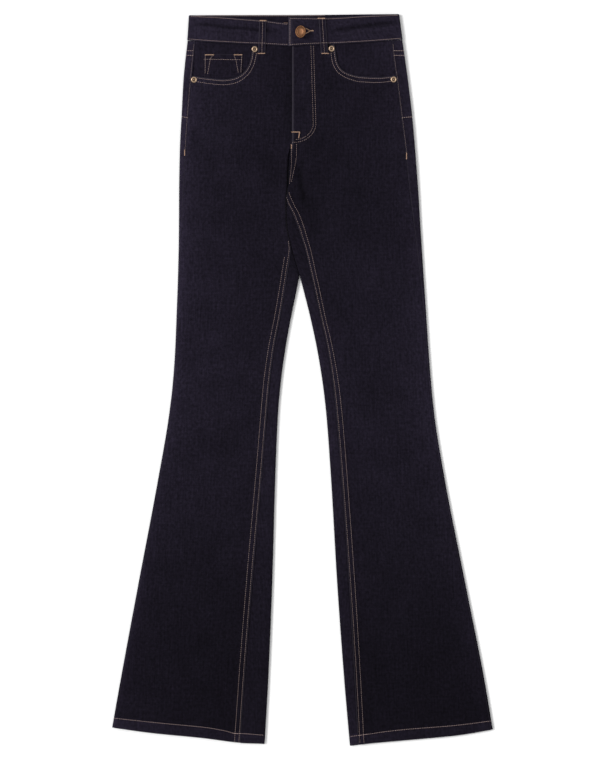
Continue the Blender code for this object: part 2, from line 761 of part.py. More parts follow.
def make_back_pocket(leg):
    """A plain five-sided patch pocket, under the back."""
    table = columns_of(BACK_POCKET, BACK_POCKET_COLUMNS)
    half = curve(table["drop"], table["half_width"])
    grid = []
    for v in (0.0, 0.2, 0.4, 0.6, 0.85, 1.0):
        row = []
        for u in (-1.0, -0.5, 0.0, 0.5, 1.0):
            side_drop = table["drop"][2]
            point_drop = table["drop"][3]
            bottom = mix(point_drop, side_drop, abs(u))
            x = BACK_POCKET_X[leg] + u * half(min(bottom * v, side_drop))
            row.append((x, BACK_POCKET_TOP + bottom * v, 0.0))
        grid.append(row)
    return layer("back_pocket_" + leg, grid, PLY, down=-1.0)


def band_top(x):
    """Height of the top of the front waistband over X."""
    if x < FLY_EDGE:
        return BAND_FRONT
    return mix(BAND_OVER, BAND_FRONT, min(max((x - LAP_START) / LAP_EASE, 0.0), 1.0))


def make_front_loop(name, x_upper, x_lower, upper, lower):
    """A belt loop lying over the waistband and down onto the front panel."""
    leg = "right" if x_upper < 0 else "left"
    grid = []
    for v in (0.0, 0.25, 0.5, 0.72, 0.8, 0.9, 1.0):
        row = []
        drop = mix(upper, lower, v)
        for side in (-0.5, 0.0, 0.5):
            x = mix(x_upper, x_lower, v) + side * LOOP_WIDTH
            edge = BAND_EDGE[leg](x)
            on_band = 1.0 - ease(drop, edge + 0.8, edge + 9.0)
            low = panel_top(leg, x, drop)
            z = mix(low, band_top(x), on_band) + GAP + RISE + LOOP_PLY
            row.append((x, drop, z))
        grid.append(row)
    return layer(name, grid, LOOP_PLY)


def make_back_loop(name, x):
    """A belt loop under the back waistband, on which the waist rests."""
    upper, lower = BACK_LOOP_ENDS
    grid = [[(x + side * LOOP_WIDTH, mix(upper, lower, v), 0.0) for side in (-0.5, 0.0, 0.5)]
            for v in (0.0, 0.5, 1.0)]
    return layer(name, grid, LOOP_PLY, down=-1.0)


def zip_level(drop):
    """Height of the outside of the zip tape."""
    return front_top("left", ZIP_X + FLY_WIDTH, drop) - LAYER - SINK


def make_zip():
    """Tape under the fly, and the closed slider with its pull at the top."""
    grid = []
    for v in (0.0, 0.08, 0.16, 0.24, 0.36, 0.65, 1.0):
        drop = mix(*ZIP_ENDS, v)
        grid.append([(ZIP_X + side * ZIP_WIDTH, drop, zip_level(drop)) for side in (-0.5, 0.0, 0.5)])
    layer("zip_tape", grid, TAPE_PLY, colour=TAPE)
    grid = []
    for row in rows_of(SLIDER, SLIDER_COLUMNS):
        drop = SLIDER_DROP + row["drop"]
        z = zip_level(drop) + GAP + RISE + SLIDER_PLY
        grid.append([(SLIDER_X + side * row["width"], drop, z) for side in (-0.5, 0.5)])
    layer("zip_slider", grid, SLIDER_PLY, colour=BRASS)


def turned(name, profile, colour, sides):
    """A closed turned solid about Z from (radius, height) points, top to bottom."""
    shape = bmesh.new()
    rings = []
    for radius, z in profile:
        if radius < 1e-6:
            rings.append([shape.verts.new((0.0, 0.0, z * MM))])
            continue
        ring = []
        for i in range(sides):
            angle = 2 * math.pi * i / sides
            ring.append(shape.verts.new((radius * MM * math.cos(angle),
                                         radius * MM * math.sin(angle), z * MM)))
        rings.append(ring)
    for a, b in zip(rings, rings[1:]):
        for i in range(sides):
            j = (i + 1) % sides
            corners = [a[i % len(a)], a[j % len(a)], b[j % len(b)], b[i % len(b)]]
            face = list(dict.fromkeys(corners))
            shape.faces.new(face)
    mesh = bpy.data.meshes.new(name)
    shape.to_mesh(mesh)
    shape.free()
    outward(mesh)
    mesh.shade_smooth()
    mesh.set_sharp_from_angle(angle=math.radians(40.0))
    return add_object(name, mesh, colour, roughness=0.4, metallic=1.0)


def place(piece, x, drop, z):
    piece.location = (x * MM, (LENGTH / 2 - drop) * MM, z * MM)


def combine(piece, guide, operation):
    """Joins a hidden guide to a piece, or cuts it out."""
    guide.hide_render = True
    guide.display_type = "WIRE"
    step = piece.modifiers.new(guide.name, "BOOLEAN")
    step.object = guide
    step.operation = operation
    step.solver = "EXACT"


def make_button(band):
    """The waist button: a tilted dished disc on a neck that goes through its buttonhole."""
    button = turned("button", BUTTON_PROFILE, COPPER, BUTTON_SIDES)
    button.rotation_euler = (0.0, -BUTTON_TILT, 0.0)
    centre_z = BAND_OVER + GAP + BUTTON_RADIUS * math.sin(BUTTON_TILT) + BUTTON_CLEAR
    place(button, BUTTON_X, BUTTON_DROP, centre_z)
    neck_top = centre_z + NECK_REACH
    neck_foot = BAND_FRONT + GAP
    neck = turned("neck_guide", ((0.0, neck_top), (NECK_RADIUS, neck_top), (NECK_RADIUS, neck_foot),
                                 (0.0, neck_foot)), COPPER, NECK_SIDES)
    place(neck, BUTTON_X, BUTTON_DROP, 0.0)
    combine(button, neck, "UNION")
    top = BAND_OVER + GAP
    foot = BAND_OVER - BAND_PLY - GAP / 2
    radius = NECK_RADIUS + GAP
    hole = turned("buttonhole_guide", ((0.0, top), (radius, top), (radius, foot), (0.0, foot)),
                  DENIM, NECK_SIDES)
    place(hole, BUTTON_X, BUTTON_DROP, 0.0)
    combine(band, hole, "DIFFERENCE")
    bpy.ops.mesh.primitive_cube_add(size=1.0)
    slit = bpy.context.object
    slit.name = "buttonhole_slit_guide"
    slit.data.transform(scale_of((BUTTONHOLE_END - BUTTON_X, BUTTONHOLE_WIDTH, top - foot)))
    place(slit, (BUTTON_X + BUTTONHOLE_END) / 2, BUTTON_DROP, (top + foot) / 2)
    combine(band, slit, "DIFFERENCE")


def scale_of(sizes):
    return Matrix.Diagonal([size * MM for size in sizes] + [1.0])


def make_rivets():
    """Four turned rivets: a raised ring round a sunk centre with a small nipple."""
    for row in rows_of(RIVETS, RIVET_COLUMNS):
        leg = "right" if row["x"] < 0 else "left"
        heights = [panel_top(leg, row["x"] + across, row["drop"] + down)
                   for across in RIVET_REACH for down in RIVET_REACH
                   if row["drop"] + down > PANEL_START]
        rivet = turned(row["name"], RIVET_PROFILE, BRASS, RIVET_SIDES)
        place(rivet, row["x"], row["drop"], max(heights) + GAP)


def main():
    for leftover in list(bpy.data.objects):
        bpy.data.objects.remove(leftover)
    for leg in ("right", "left"):
        make_front(leg)
        make_back(leg)
        make_facing(leg)
        make_back_pocket(leg)
    make_coin_pocket()
    band = make_waistband()
    for row in rows_of(FRONT_LOOPS, FRONT_LOOP_COLUMNS):
        make_front_loop(**row)
    for row in rows_of(BACK_LOOPS, BACK_LOOP_COLUMNS):
        make_back_loop(**row)
    make_zip()
    make_button(band)
    make_rivets()


main()
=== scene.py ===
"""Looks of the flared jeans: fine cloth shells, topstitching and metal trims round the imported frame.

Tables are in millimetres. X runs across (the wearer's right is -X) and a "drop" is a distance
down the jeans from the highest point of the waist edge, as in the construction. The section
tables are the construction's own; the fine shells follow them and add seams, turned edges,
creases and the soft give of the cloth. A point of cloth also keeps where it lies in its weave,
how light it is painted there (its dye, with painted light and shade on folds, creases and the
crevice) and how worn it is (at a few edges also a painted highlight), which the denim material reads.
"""
import math

import bmesh
import bpy
import numpy as np
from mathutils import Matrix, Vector
from mathutils.bvhtree import BVHTree


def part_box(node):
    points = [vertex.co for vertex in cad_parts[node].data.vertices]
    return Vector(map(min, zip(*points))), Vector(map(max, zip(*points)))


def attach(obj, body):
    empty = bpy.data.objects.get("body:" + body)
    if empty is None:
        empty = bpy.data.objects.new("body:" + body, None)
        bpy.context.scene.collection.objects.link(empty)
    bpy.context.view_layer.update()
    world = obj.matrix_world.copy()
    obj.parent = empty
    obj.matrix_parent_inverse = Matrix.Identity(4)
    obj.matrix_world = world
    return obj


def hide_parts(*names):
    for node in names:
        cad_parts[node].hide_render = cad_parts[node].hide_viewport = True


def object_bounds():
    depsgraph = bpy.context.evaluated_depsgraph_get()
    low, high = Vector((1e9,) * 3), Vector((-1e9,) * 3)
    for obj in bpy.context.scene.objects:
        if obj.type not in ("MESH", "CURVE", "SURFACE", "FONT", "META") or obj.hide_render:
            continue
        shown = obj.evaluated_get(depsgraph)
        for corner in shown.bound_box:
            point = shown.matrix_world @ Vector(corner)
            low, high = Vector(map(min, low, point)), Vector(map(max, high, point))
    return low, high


MM = 0.001
PLY = 1.0              # one layer of denim
BAND_PLY = 2.4         # waistband and turned hems
LOOP_PLY = 1.5
TAPE_PLY = 0.7
GAP = 0.3
SINK = 0.25
RISE = 0.15
LAYER = PLY + GAP
HEM_DEPTH = 15.0
HEM_EASE = 45.0
FOLD_EASE = 26.0
FORK = 392.0
CROTCH = 264.0
ROLL_EASE = 9.0
FOLD_REACH = 3.4
SEAT_SPARE = 2.5
SEAT_END = 0.5
TUCK = 12.0            # reach of a facing under the front
TUCK_DEPTH = 1.3       # how deep the inner roll of a back lies under the front at the crotch
FLY_EDGE = -15.8
FLY_WIDTH = 38.0
FLY_END = 204.0
BAND_LIFT = 1.8
BAND_FRONT = BAND_LIFT + 2 * BAND_PLY + GAP
BAND_OVER = BAND_FRONT + BAND_PLY + GAP
LAP_START = 25.0
LAP_EASE = 25.0
RAIL = 150.0
BUTT = 0.2             # how far a panel's edge closes the gap to its neighbour

SIDES_COLUMNS = ("drop", "right_outer", "right_side", "left_side", "left_outer")
SIDES = (
    (38.0, -172.0, -160.3, 133.2, 149.5),
    (70.0, -175.8, -163.4, 136.4, 154.2),
    (100.0, -178.6, -166.3, 140.8, 158.3),
    (150.0, -181.2, -170.6, 147.0, 164.2),
    (200.0, -183.8, -174.0, 153.3, 168.7),
    (264.0, -185.0, -177.8, 160.2, 173.5),
    (330.0, -185.4, -181.6, 168.6, 177.6),
    (392.0, -186.7, -183.3, 175.8, 181.6),
    (450.0, -188.8, -185.4, 182.0, 185.5),
    (500.0, -190.8, -187.4, 185.4, 188.8),
    (550.0, -194.2, -190.8, 189.2, 192.6),
    (600.0, -200.0, -196.6, 194.2, 197.6),
    (700.0, -217.0, -213.6, 210.4, 213.8),
    (850.0, -245.3, -241.9, 240.0, 243.4),
    (1000.0, -273.1, -269.7, 269.7, 273.1),
    (1100.0, -290.8, -287.4, 286.4, 289.8),
)
# Above the fork: seat line, then the inner edge of each front panel. Round the crotch the
# edges curl into the crevice and over the folds beneath them.
CENTRE_COLUMNS = ("drop", "seat", "right_front", "left_front")
CENTRE = (
    (38.0, 0.0, -8.0, -15.8),
    (110.0, -2.0, -8.0, -15.8),
    (186.0, -8.5, -8.0, -15.8),
    (202.0, -11.2, -19.0, -17.4),
    (216.0, -14.0, -21.8, -19.6),
    (235.0, -17.9, -22.1, -21.2),
    (252.0, -21.2, -22.0, -21.9),
    (259.0, -22.4, -22.4, -22.5),
    (266.0, -23.4, -23.3, -23.4),
    (274.0, -24.3, -24.1, -24.3),
    (281.0, -24.7, -24.4, -23.2),
    (300.0, -24.3, -24.0, -14.6),
    (320.0, -23.0, -22.7, -6.6),
    (332.0, -21.0, -20.8, -2.6),
    (341.0, -18.4, -18.6, 0.4),
    (352.0, -15.8, -17.8, 3.8),
    (392.0, -4.4, -22.8, 13.2),
)
INNER_COLUMNS = ("drop", "right_front", "right_inner", "left_inner", "left_front")
INNER = (
    (392.0, -22.8, -4.4, -4.4, 13.2),
    (420.0, -27.4, -9.8, 2.9, 19.6),
    (450.0, -32.6, -16.1, 10.4, 26.0),
    (500.0, -42.3, -25.2, 21.2, 37.2),
    (550.0, -48.9, -32.1, 29.6, 45.0),
    (600.0, -53.3, -36.6, 35.5, 50.5),
    (700.0, -61.6, -40.8, 42.8, 58.8),
    (850.0, -74.9, -45.1, 51.6, 69.4),
    (1000.0, -86.9, -51.3, 62.5, 78.1),
    (1100.0, -93.5, -57.0, 71.2, 83.5),
)
PROFILE_COLUMNS = ("drop", "lift", "fold", "front")
PROFILE = (
    (38.0, 1.8, 6.4, 6.2),
    (62.0, 1.8, 6.3, 6.1),
    (85.0, 1.3, 5.5, 5.3),
    (215.0, 1.3, 5.5, 5.2),
    (256.0, 1.3, 5.0, 4.4),
    (310.0, 0.0, 4.8, 3.0),
    (400.0, 0.0, 4.8, 2.4),
    (1000.0, 0.0, 4.8, 2.3),
    (1100.0, 0.0, 4.8, 2.3),
)
HEM_COLUMNS = ("across", "right", "left")
HEM = (
    (0.0, 1069.8, 1072.6),
    (0.25, 1077.6, 1081.4),
    (0.6, 1085.6, 1088.6),
    (0.85, 1092.6, 1093.4),
    (1.0, 1094.2, 1097.0),
)
BACK_SEAM_COLUMNS = ("place", "yoke", "contour")
BACK_SEAMS = (
    (0.0, 64.5, 157.8),
    (1.0, 64.5, 154.0),
    (2.0, 72.0, 152.0),
    (3.0, 84.0, 156.0),
    (4.0, 97.0, 163.0),
    (5.0, 108.0, 170.0),
)
BAND_COLUMNS = ("face", "x_upper", "x_lower", "upper", "lower")
BAND = (
    ("right", 22.0, 22.0, 14.0, 45.4),
    ("right", -17.0, -17.0, 13.8, 48.0),
    ("right", -56.0, -56.0, 9.6, 46.2),
    ("right", -94.0, -94.0, 6.4, 44.6),
    ("right", -134.0, -134.0, 3.4, 42.4),
    ("right fold", -170.4, -172.8, 1.8, 39.6),
    ("back", -134.0, -134.0, 1.6, 41.0),
    ("back", 0.0, 0.0, 1.4, 43.0),
    ("back", 100.0, 102.0, 0.3, 41.0),
    ("left fold", 145.0, 150.0, 0.0, 38.4),
    ("left", 95.0, 97.0, 2.0, 42.4),
    ("left", 50.0, 50.5, 5.0, 45.0),
    ("left", 25.0, 25.0, 5.8, 46.0),
    ("left", 8.0, 8.0, 5.5, 46.6),
    ("left", -21.0, -21.0, 5.2, 48.5),
)
MOUTH_COLUMNS = ("right_x", "right_drop", "left_x", "left_drop")
MOUTH = (
    (-74.6, 46.0, 48.0, 45.6),
    (-76.0, 57.8, 49.8, 59.3),
    (-78.8, 71.5, 52.0, 71.5),
    (-87.0, 86.4, 58.0, 82.4),
    (-103.6, 96.2, 68.0, 88.7),
    (-119.3, 98.1, 88.0, 93.6),
    (-138.8, 96.4, 112.0, 94.7),
    (-165.4, 92.8, 139.6, 92.4),
)
# Felled inseam: distances from the seam to its two rows of stitches, on each leg.
FELL_COLUMNS = ("drop", "right_outer", "right_inner", "left_outer", "left_inner")
FELL = (
    (262.0, 8.2, 2.4, 2.0, 0.3),
    (268.0, 8.2, 2.4, 3.2, 0.3),
    (275.0, 8.2, 2.4, 6.6, 0.6),
    (286.0, 8.2, 2.4, 8.6, 2.0),
    (301.0, 8.2, 2.4, 9.4, 2.4),
    (324.0, 8.2, 2.4, 8.6, 2.4),
    (350.0, 8.2, 2.2, 7.8, 2.0),
    (377.0, 8.4, 3.1, 7.5, 2.0),
    (394.0, 8.4, 2.9, 7.4, 2.0),
    (470.0, 8.3, 2.2, 7.0, 2.0),
    (577.0, 9.0, 2.3, 8.6, 2.2),
    (760.0, 9.0, 2.4, 8.4, 2.2),
    (1000.0, 8.6, 2.3, 9.0, 3.2),
    (1100.0, 9.0, 2.3, 8.8, 2.8),
)
# Distance from the hem to its row of stitches, from the outer to the inner fold.
HEM_ROW_COLUMNS = ("across", "right", "left")
HEM_ROWS = (
    (0.0, 14.6, 13.2),
    (0.25, 16.2, 15.2),
    (0.6, 16.4, 16.2),
    (0.74, 15.2, 15.6),
    (0.8, 13.2, 14.9),
    (0.86, 14.0, 14.3),
    (1.0, 12.8, 13.6),
)
HEM_EDGE = 1.4         # how far the hem's turned edge lies beyond its row
HEM_TONE = 1.75        # how much lighter the hem's turned band is
# Distances from a pocket mouth's edge to its two rows, over the length of the mouth.
MOUTH_ROW_COLUMNS = ("share", "near", "far")
MOUTH_ROWS = (
    (0.0, 2.0, 6.8),
    (0.15, 2.1, 7.0),
    (0.35, 2.1, 7.0),
    (0.55, 2.1, 8.0),
    (0.8, 2.1, 8.1),
    (1.0, 2.0, 7.2),
)
# Soft creases of the fronts and the waistband: piece, half width, depth (a ridge is below 0) and line.
# Their troughs are also painted darker as painted shade.
CREASE_COLUMNS = ("piece", "width", "depth", "line")
CREASES = (
    ("front_left", 3.4, 1.9, ((-6.6, 222.0), (-6.3, 232.0), (-4.5, 244.5), (-1.7, 261.5),
                              (1.2, 273.0), (3.4, 288.0))),
    ("front_left", 12.0, 0.6, ((8.0, 262.0), (20.0, 340.0))),
    ("front_left", 12.0, 0.4, ((70.0, 205.0), (12.0, 250.0))),
    ("front_left", 16.0, 0.4, ((82.0, 556.0), (160.0, 572.0))),
    ("front_left", 20.0, 0.35, ((96.0, 676.0), (176.0, 646.0))),
    ("front_right", 12.0, 0.4, ((-62.0, 190.0), (-36.0, 262.0))),
    ("front_right", 16.0, 0.4, ((-150.0, 560.0), (-70.0, 548.0))),
    ("front_right", 20.0, 0.35, ((-168.0, 640.0), (-96.0, 668.0))),
    ("waistband", 3.0, 1.6, ((-176.0, 14.6), (-157.0, 15.8), (-136.0, 16.6), (-121.0, 19.2),
                             (-86.0, 22.4), (-46.0, 26.3), (-27.0, 29.0))),
    ("waistband", 2.4, 0.7, ((-146.0, 25.4), (-136.0, 26.6), (-122.0, 28.2), (-84.0, 29.8),
                             (-66.0, 30.6))),
    ("waistband", 3.6, -0.5, ((-176.0, 21.0), (-136.0, 22.6), (-121.0, 25.0), (-86.0, 27.8),
                              (-40.0, 32.0))),
    ("waistband", 3.6, 1.7, ((37.0, 26.0), (52.0, 24.0), (68.0, 21.8), (98.0, 17.3), (142.0, 12.8),
                             (152.0, 12.0))),
    ("waistband", 4.0, -0.5, ((37.0, 34.0), (68.0, 29.4), (98.0, 25.0), (142.0, 20.4), (152.0, 19.6))),
)
# How light each leg is painted down its length: across the front from its outer to its inner side,
# what the outer fold adds, and on the strip of the back beside the inseam. This is partly the dye and
# partly painted light and shade: the outer folds carry a painted highlight, one leg is painted lighter
# than the other and the middle of each front darker, and the strip in the fork darker as painted shade.
TONE_COLUMNS = ("drop", "right_edge", "right_outer", "right_inner", "right_strip",
                "left_edge", "left_outer", "left_inner", "left_strip")
TONE = (
    (40.0, 0.9, 1.24, 0.84, 0.9, 0.75, 0.97, 0.9, 0.9),
    (120.0, 1.0, 1.24, 0.8, 0.9, 0.65, 0.93, 0.84, 0.9),
    (290.0, 1.15, 1.15, 0.82, 0.8, 0.45, 0.93, 0.76, 0.9),
    (360.0, 1.1, 1.2, 0.8, 0.6, 0.45, 1.0, 0.86, 0.8),
    (420.0, 1.1, 1.3, 0.87, 0.95, 0.45, 1.03, 0.96, 1.15),
    (580.0, 0.7, 1.25, 0.97, 1.17, 0.42, 1.15, 1.06, 1.42),
    (740.0, 0.55, 1.04, 0.92, 1.05, 0.24, 0.92, 0.87, 1.17),
    (900.0, 0.66, 0.7, 0.6, 0.75, 0.24, 0.65, 0.66, 0.97),
    (1040.0, 0.45, 0.7, 0.55, 0.7, 0.12, 0.5, 0.5, 0.94),
    (1100.0, 0.45, 0.7, 0.55, 0.7, 0.12, 0.5, 0.5, 0.94),
)
FOLD_HIGHLIGHT_SHARE = 0.09      # how far across a front the painted highlight of its outer fold reaches
# Depth to which the inner edges of the fronts roll down into the crevice at the crotch; the same depth
# paints those edges darker as painted shade.
CREVICE_COLUMNS = ("drop", "right", "left")
CREVICE = (
    (180.0, 0.0, 0.0),
    (204.0, 0.0, 0.0),
    (216.0, 1.0, 0.8),
    (240.0, 2.2, 2.2),
    (262.0, 2.6, 2.4),
    (270.0, 2.8, 1.8),
    (284.0, 2.8, 0.0),
    (330.0, 2.8, 0.0),
    (345.0, 1.4, 0.0),
    (358.0, 0.0, 0.0),
    (380.0, 0.0, 0.0),
)
ROLL_RADIUS = 2.8

COIN_X = (-148.0, -90.0)
COIN_UPPER = 60.0
COIN_LOWER = 109.0
COIN_TAPER = 1.5
BACK_POCKET_COLUMNS = ("half_width", "drop")
BACK_POCKET = ((66.0, 0.0), (65.0, 60.0), (58.0, 124.0), (0.0, 146.0))
BACK_POCKET_TOP = 104.0
BACK_POCKET_X = {"right": -96.0, "left": 74.0}
LOOP_WIDTH = 10.6
# Name, x of its upper and lower end, and the drops of both.
FRONT_LOOPS = (
    ("loop_front_right", -59.6, -61.0, 9.0, 60.5),
    ("loop_front_left", 29.4, 33.0, 5.6, 60.5),
)
# Name and x.
BACK_LOOPS = (
    ("loop_back_right", -96.0),
    ("loop_back_centre", 0.0),
    ("loop_back_left", 92.0),
)
BACK_LOOP_ENDS = (3.5, 57.0)
ZIP_X = -4.8
ZIP_WIDTH = 26.0
ZIP_ENDS = (52.0, 186.0)
ZIP_TONE = 0.9
TEETH_ENDS = (92.0, 183.0)
TOOTH = (2.6, 0.8, 0.9)
TOOTH_PITCH = 1.1
TOOTH_SHIFT = 0.55     # of every other tooth to each side
BAND_START = 22.0      # hidden end of the waistband
BAND_END = -21.0       # end that laps over it
BAND_STEP = 2.6
BAND_HEIGHT = 37.0
BUTTON_DROP = 26.3
BUTTON_RADIUS = 9.2
BUTTON_TILT = math.radians(33.0)
BUTTON_CLEAR = 0.5     # between the tilted button's low side and the cloth, over the gap
BUTTON_SHIFT = (1.3, -0.9)        # how far its head leans off the middle of its CAD box
NECK_RADIUS = 2.5
BEADS = 44             # fine beads round the button's face
BEAD_RADIUS = 0.27
BEAD_RING = 6.75
BEAD_HEIGHT = 1.25

STITCH = 3.0           # from one topstitch to the next
STITCH_STEPS = 5       # points at which each stitch feels the cloth
THREAD = 0.22          # half the width of a thread
TACK_PITCH = 0.4       # from one thread of a bar tack to the next
TACK_LEAN = 0.22
TACK_RADIUS = 0.2
TACK_LIFT = 0.12
WAY = {"right": 1.0, "left": -1.0}     # from a leg's outer fold towards the other leg

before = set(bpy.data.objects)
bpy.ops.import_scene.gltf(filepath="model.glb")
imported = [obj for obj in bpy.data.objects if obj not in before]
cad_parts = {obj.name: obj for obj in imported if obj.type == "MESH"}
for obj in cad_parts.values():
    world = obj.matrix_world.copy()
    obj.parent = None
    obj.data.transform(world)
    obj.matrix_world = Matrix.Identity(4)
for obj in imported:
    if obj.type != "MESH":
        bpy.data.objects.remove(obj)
CAD_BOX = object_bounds()
LENGTH = (CAD_BOX[1].y - CAD_BOX[0].y) / MM


# ---- curves and sections

def columns_of(rows, names):
    return dict(zip(names, zip(*rows)))


def rows_of(rows, names):
    return [dict(zip(names, row)) for row in rows]


def curve(keys, values):
    """A smooth function of an array through a table's rows, straight beyond its ends."""
    keys = np.array(keys, float)
    values = np.array(values, float)
    steps = np.diff(keys)
    rates = np.diff(values) / steps
    slopes = np.zeros(len(keys))
    slopes[0] = rates[0]
    slopes[-1] = rates[-1]
    for i in range(1, len(rates)):
        if rates[i - 1] * rates[i] > 0.0:
            near = 2.0 * steps[i] + steps[i - 1]
            far = steps[i] + 2.0 * steps[i - 1]
            slopes[i] = (near + far) / (near / rates[i - 1] + far / rates[i])

    def at(key):
        key = np.asarray(key, float)
        i = np.clip(np.searchsorted(keys, key, side="right") - 1, 0, len(steps) - 1)
        step = steps[i]
        t = np.clip((key - keys[i]) / step, 0.0, 1.0)
        rise = t * t * (3.0 - 2.0 * t)
        start = t * (1.0 - t) ** 2
        end = -t * t * (1.0 - t)
        inside = mix(values[i], values[i + 1], rise) + step * (start * slopes[i] + end * slopes[i + 1])
        before = np.minimum(key - keys[0], 0.0) * slopes[0]
        after = np.maximum(key - keys[-1], 0.0) * slopes[-1]
        return inside + before + after

    return at


def curves_of(rows, names):
    table = columns_of(rows, names)
    return {name: curve(table[names[0]], table[name]) for name in names[1:]}


def mix(a, b, share):
    return a + (b - a) * share


def ease(value, start, end):
    """0 before start, 1 after end, smooth between."""
    t = np.clip((np.asarray(value, float) - start) / (end - start), 0.0, 1.0)
    return t * t * (3.0 - 2.0 * t)


def fade(value, start, end):
    """1 before start, 0 after end, smooth between."""
    return 1.0 - ease(value, start, end)


def bell(value, width):
    return np.exp(-(value / width) ** 2)


def unit(vectors):
    return vectors / np.maximum(np.linalg.norm(vectors, axis=-1, keepdims=True), 1e-9)


SIDE = curves_of(SIDES, SIDES_COLUMNS)
MIDDLE = curves_of(CENTRE, CENTRE_COLUMNS)
BELOW = curves_of(INNER, INNER_COLUMNS)
HEIGHT = curves_of(PROFILE, PROFILE_COLUMNS)
HEM_LINE = curves_of(HEM, HEM_COLUMNS)
BACK_SEAM = curves_of(BACK_SEAMS, BACK_SEAM_COLUMNS)
FELL_ROW = curves_of(FELL, FELL_COLUMNS)
HEM_ROW = curves_of(HEM_ROWS, HEM_ROW_COLUMNS)
MOUTH_ROW = curves_of(MOUTH_ROWS, MOUTH_ROW_COLUMNS)
DYE_AND_PAINTED_LIGHT = curves_of(TONE, TONE_COLUMNS)
ROLL_DEPTH = curves_of(CREVICE, CREVICE_COLUMNS)


def lines(leg, drop):
    """X of a leg's outer fold, side seam, front panel's inner edge and inner fold."""
    way = WAY[leg]
    outer = SIDE[leg + "_outer"](drop)
    side = SIDE[leg + "_side"](drop)
    above = np.asarray(drop) <= FORK
    front = np.where(above, MIDDLE[leg + "_front"](drop), BELOW[leg + "_front"](drop))
    inner = np.where(above, MIDDLE["seat"](drop), BELOW[leg + "_inner"](drop))
    side = outer + way * np.maximum(np.abs(side - outer), FOLD_REACH)
    apart = mix(-0.05, GAP / 2, ease(drop, FORK - 6.0, FORK + 6.0))
    return outer, side, front - way * GAP / 2, inner - way * apart


def across_of(leg, x, drop):
    outer, _, _, inner = lines(leg, drop)
    return np.clip((x - outer) / (inner - outer), 0.0, 1.0)


def hem_distance(leg, x, drop):
    return HEM_LINE[leg](across_of(leg, x, drop)) - drop


def hem_turn(leg, x, drop):
    """How far above its hem a leg's turned edge lies, at each point."""
    return HEM_ROW[leg](across_of(leg, x, drop)) + HEM_EDGE


def levels(drop, distance):
    """Underside of the back, top of the folds and top of the front between them."""
    hem = fade(distance, HEM_DEPTH, HEM_DEPTH + HEM_EASE)
    thick = 2 * BAND_PLY + GAP
    return (HEIGHT["lift"](drop), mix(HEIGHT["fold"](drop), thick, hem),
            mix(HEIGHT["front"](drop), thick, hem))


def rolled(drop):
    return ease(drop, CROTCH - ROLL_EASE, CROTCH + ROLL_EASE)


def front_top(leg, x, drop):
    """Height of the outside of the top layer, without the fly and the coin pocket."""
    outer, _, _, inner = lines(leg, drop)
    _, fold, front = levels(drop, hem_distance(leg, x, drop))
    from_outer = fade(np.abs(x - outer), 3.0, FOLD_EASE)
    from_inner = fade(np.abs(x - inner), 3.0, FOLD_EASE) * rolled(drop)
    return mix(front, fold, np.maximum(from_outer, from_inner))


def fly_rise(x, drop):
    across = fade(x, FLY_EDGE + FLY_WIDTH * 0.7, FLY_EDGE + FLY_WIDTH * 1.3)
    return LAYER * across * fade(drop, FLY_END, FLY_END + 22.0)


def coin_rise(x, drop):
    left = ease(x, COIN_X[0] - 16.0, COIN_X[0] - 2.0)
    right = fade(x, COIN_X[1] + 2.0, COIN_X[1] + 16.0)
    return LAYER * left * right * fade(drop, COIN_LOWER + 2.0, COIN_LOWER + 22.0)


def panel_top(leg, x, drop):
    if leg == "left":
        return front_top(leg, x, drop) + fly_rise(x, drop)
    return front_top(leg, x, drop) + coin_rise(x, drop)


def lengths(path):
    """Length along a polyline at each of its points."""
    return np.concatenate([[0.0], np.cumsum(np.linalg.norm(np.diff(path, axis=0), axis=1))])


def smooth_path(points, count):
    """Evenly spaced points along a smooth curve through the given ones."""
    points = np.array(points, float)
    keys = lengths(points)
    at = np.linspace(0.0, keys[-1], count)
    return np.stack([curve(keys, points[:, k])(at) for k in range(points.shape[1])], axis=1)


def along(points, shares):
    """The points at shares of the length of a polyline."""
    keys = lengths(points)
    at = np.asarray(shares) * keys[-1]
    return np.stack([np.interp(at, keys, points[:, k]) for k in range(points.shape[1])], axis=-1)


def shares_of(length, spacing, start=(0.0,), end=(0.0,)):
    """Shares of a length: evenly spaced, with closer ones at given distances from both ends."""
    start = np.array(start)
    end = np.array(end)
    count = max(int(round((length - start[-1] - end[-1]) / spacing)), 1)
    middle = np.linspace(start[-1], length - end[-1], count + 1)[1:-1]
    return np.concatenate([start, middle, (length - end)[::-1]]) / length


def band_rows(*faces):
    rows = [row for row in rows_of(BAND, BAND_COLUMNS) if row["face"] in faces]
    return sorted(rows, key=lambda row: row["x_lower"])


def band_curve(name, *faces):
    rows = band_rows(*faces)
    return curve([row["x_lower"] for row in rows], [row[name] for row in rows])


BAND_FACES = {"right": ("right fold", "right"), "left": ("left", "left fold"),
              "back": ("right fold", "back", "left fold")}
BAND_EDGE = {face: band_curve("lower", *faces) for face, faces in BAND_FACES.items()}


def mouth_path(leg, count):
    table = columns_of(MOUTH, MOUTH_COLUMNS)
    return smooth_path(list(zip(table[leg + "_x"], table[leg + "_drop"])), count)


MOUTH_LINE = {leg: mouth_path(leg, 40) for leg in WAY}


# ---- give of the cloth

def tone_at(leg, x, drop):
    """How light a leg's front is painted at a place: its dye with painted light and shade, and a painted
    highlight along the outer fold.
    """
    outer, _, front, _ = lines(leg, drop)
    across = np.clip((x - outer) / (front - outer), 0.0, 1.0)
    base = mix(DYE_AND_PAINTED_LIGHT[leg + "_outer"](drop), DYE_AND_PAINTED_LIGHT[leg + "_inner"](drop), across)
    return base + DYE_AND_PAINTED_LIGHT[leg + "_edge"](drop) * np.exp(-across / FOLD_HIGHLIGHT_SHARE)


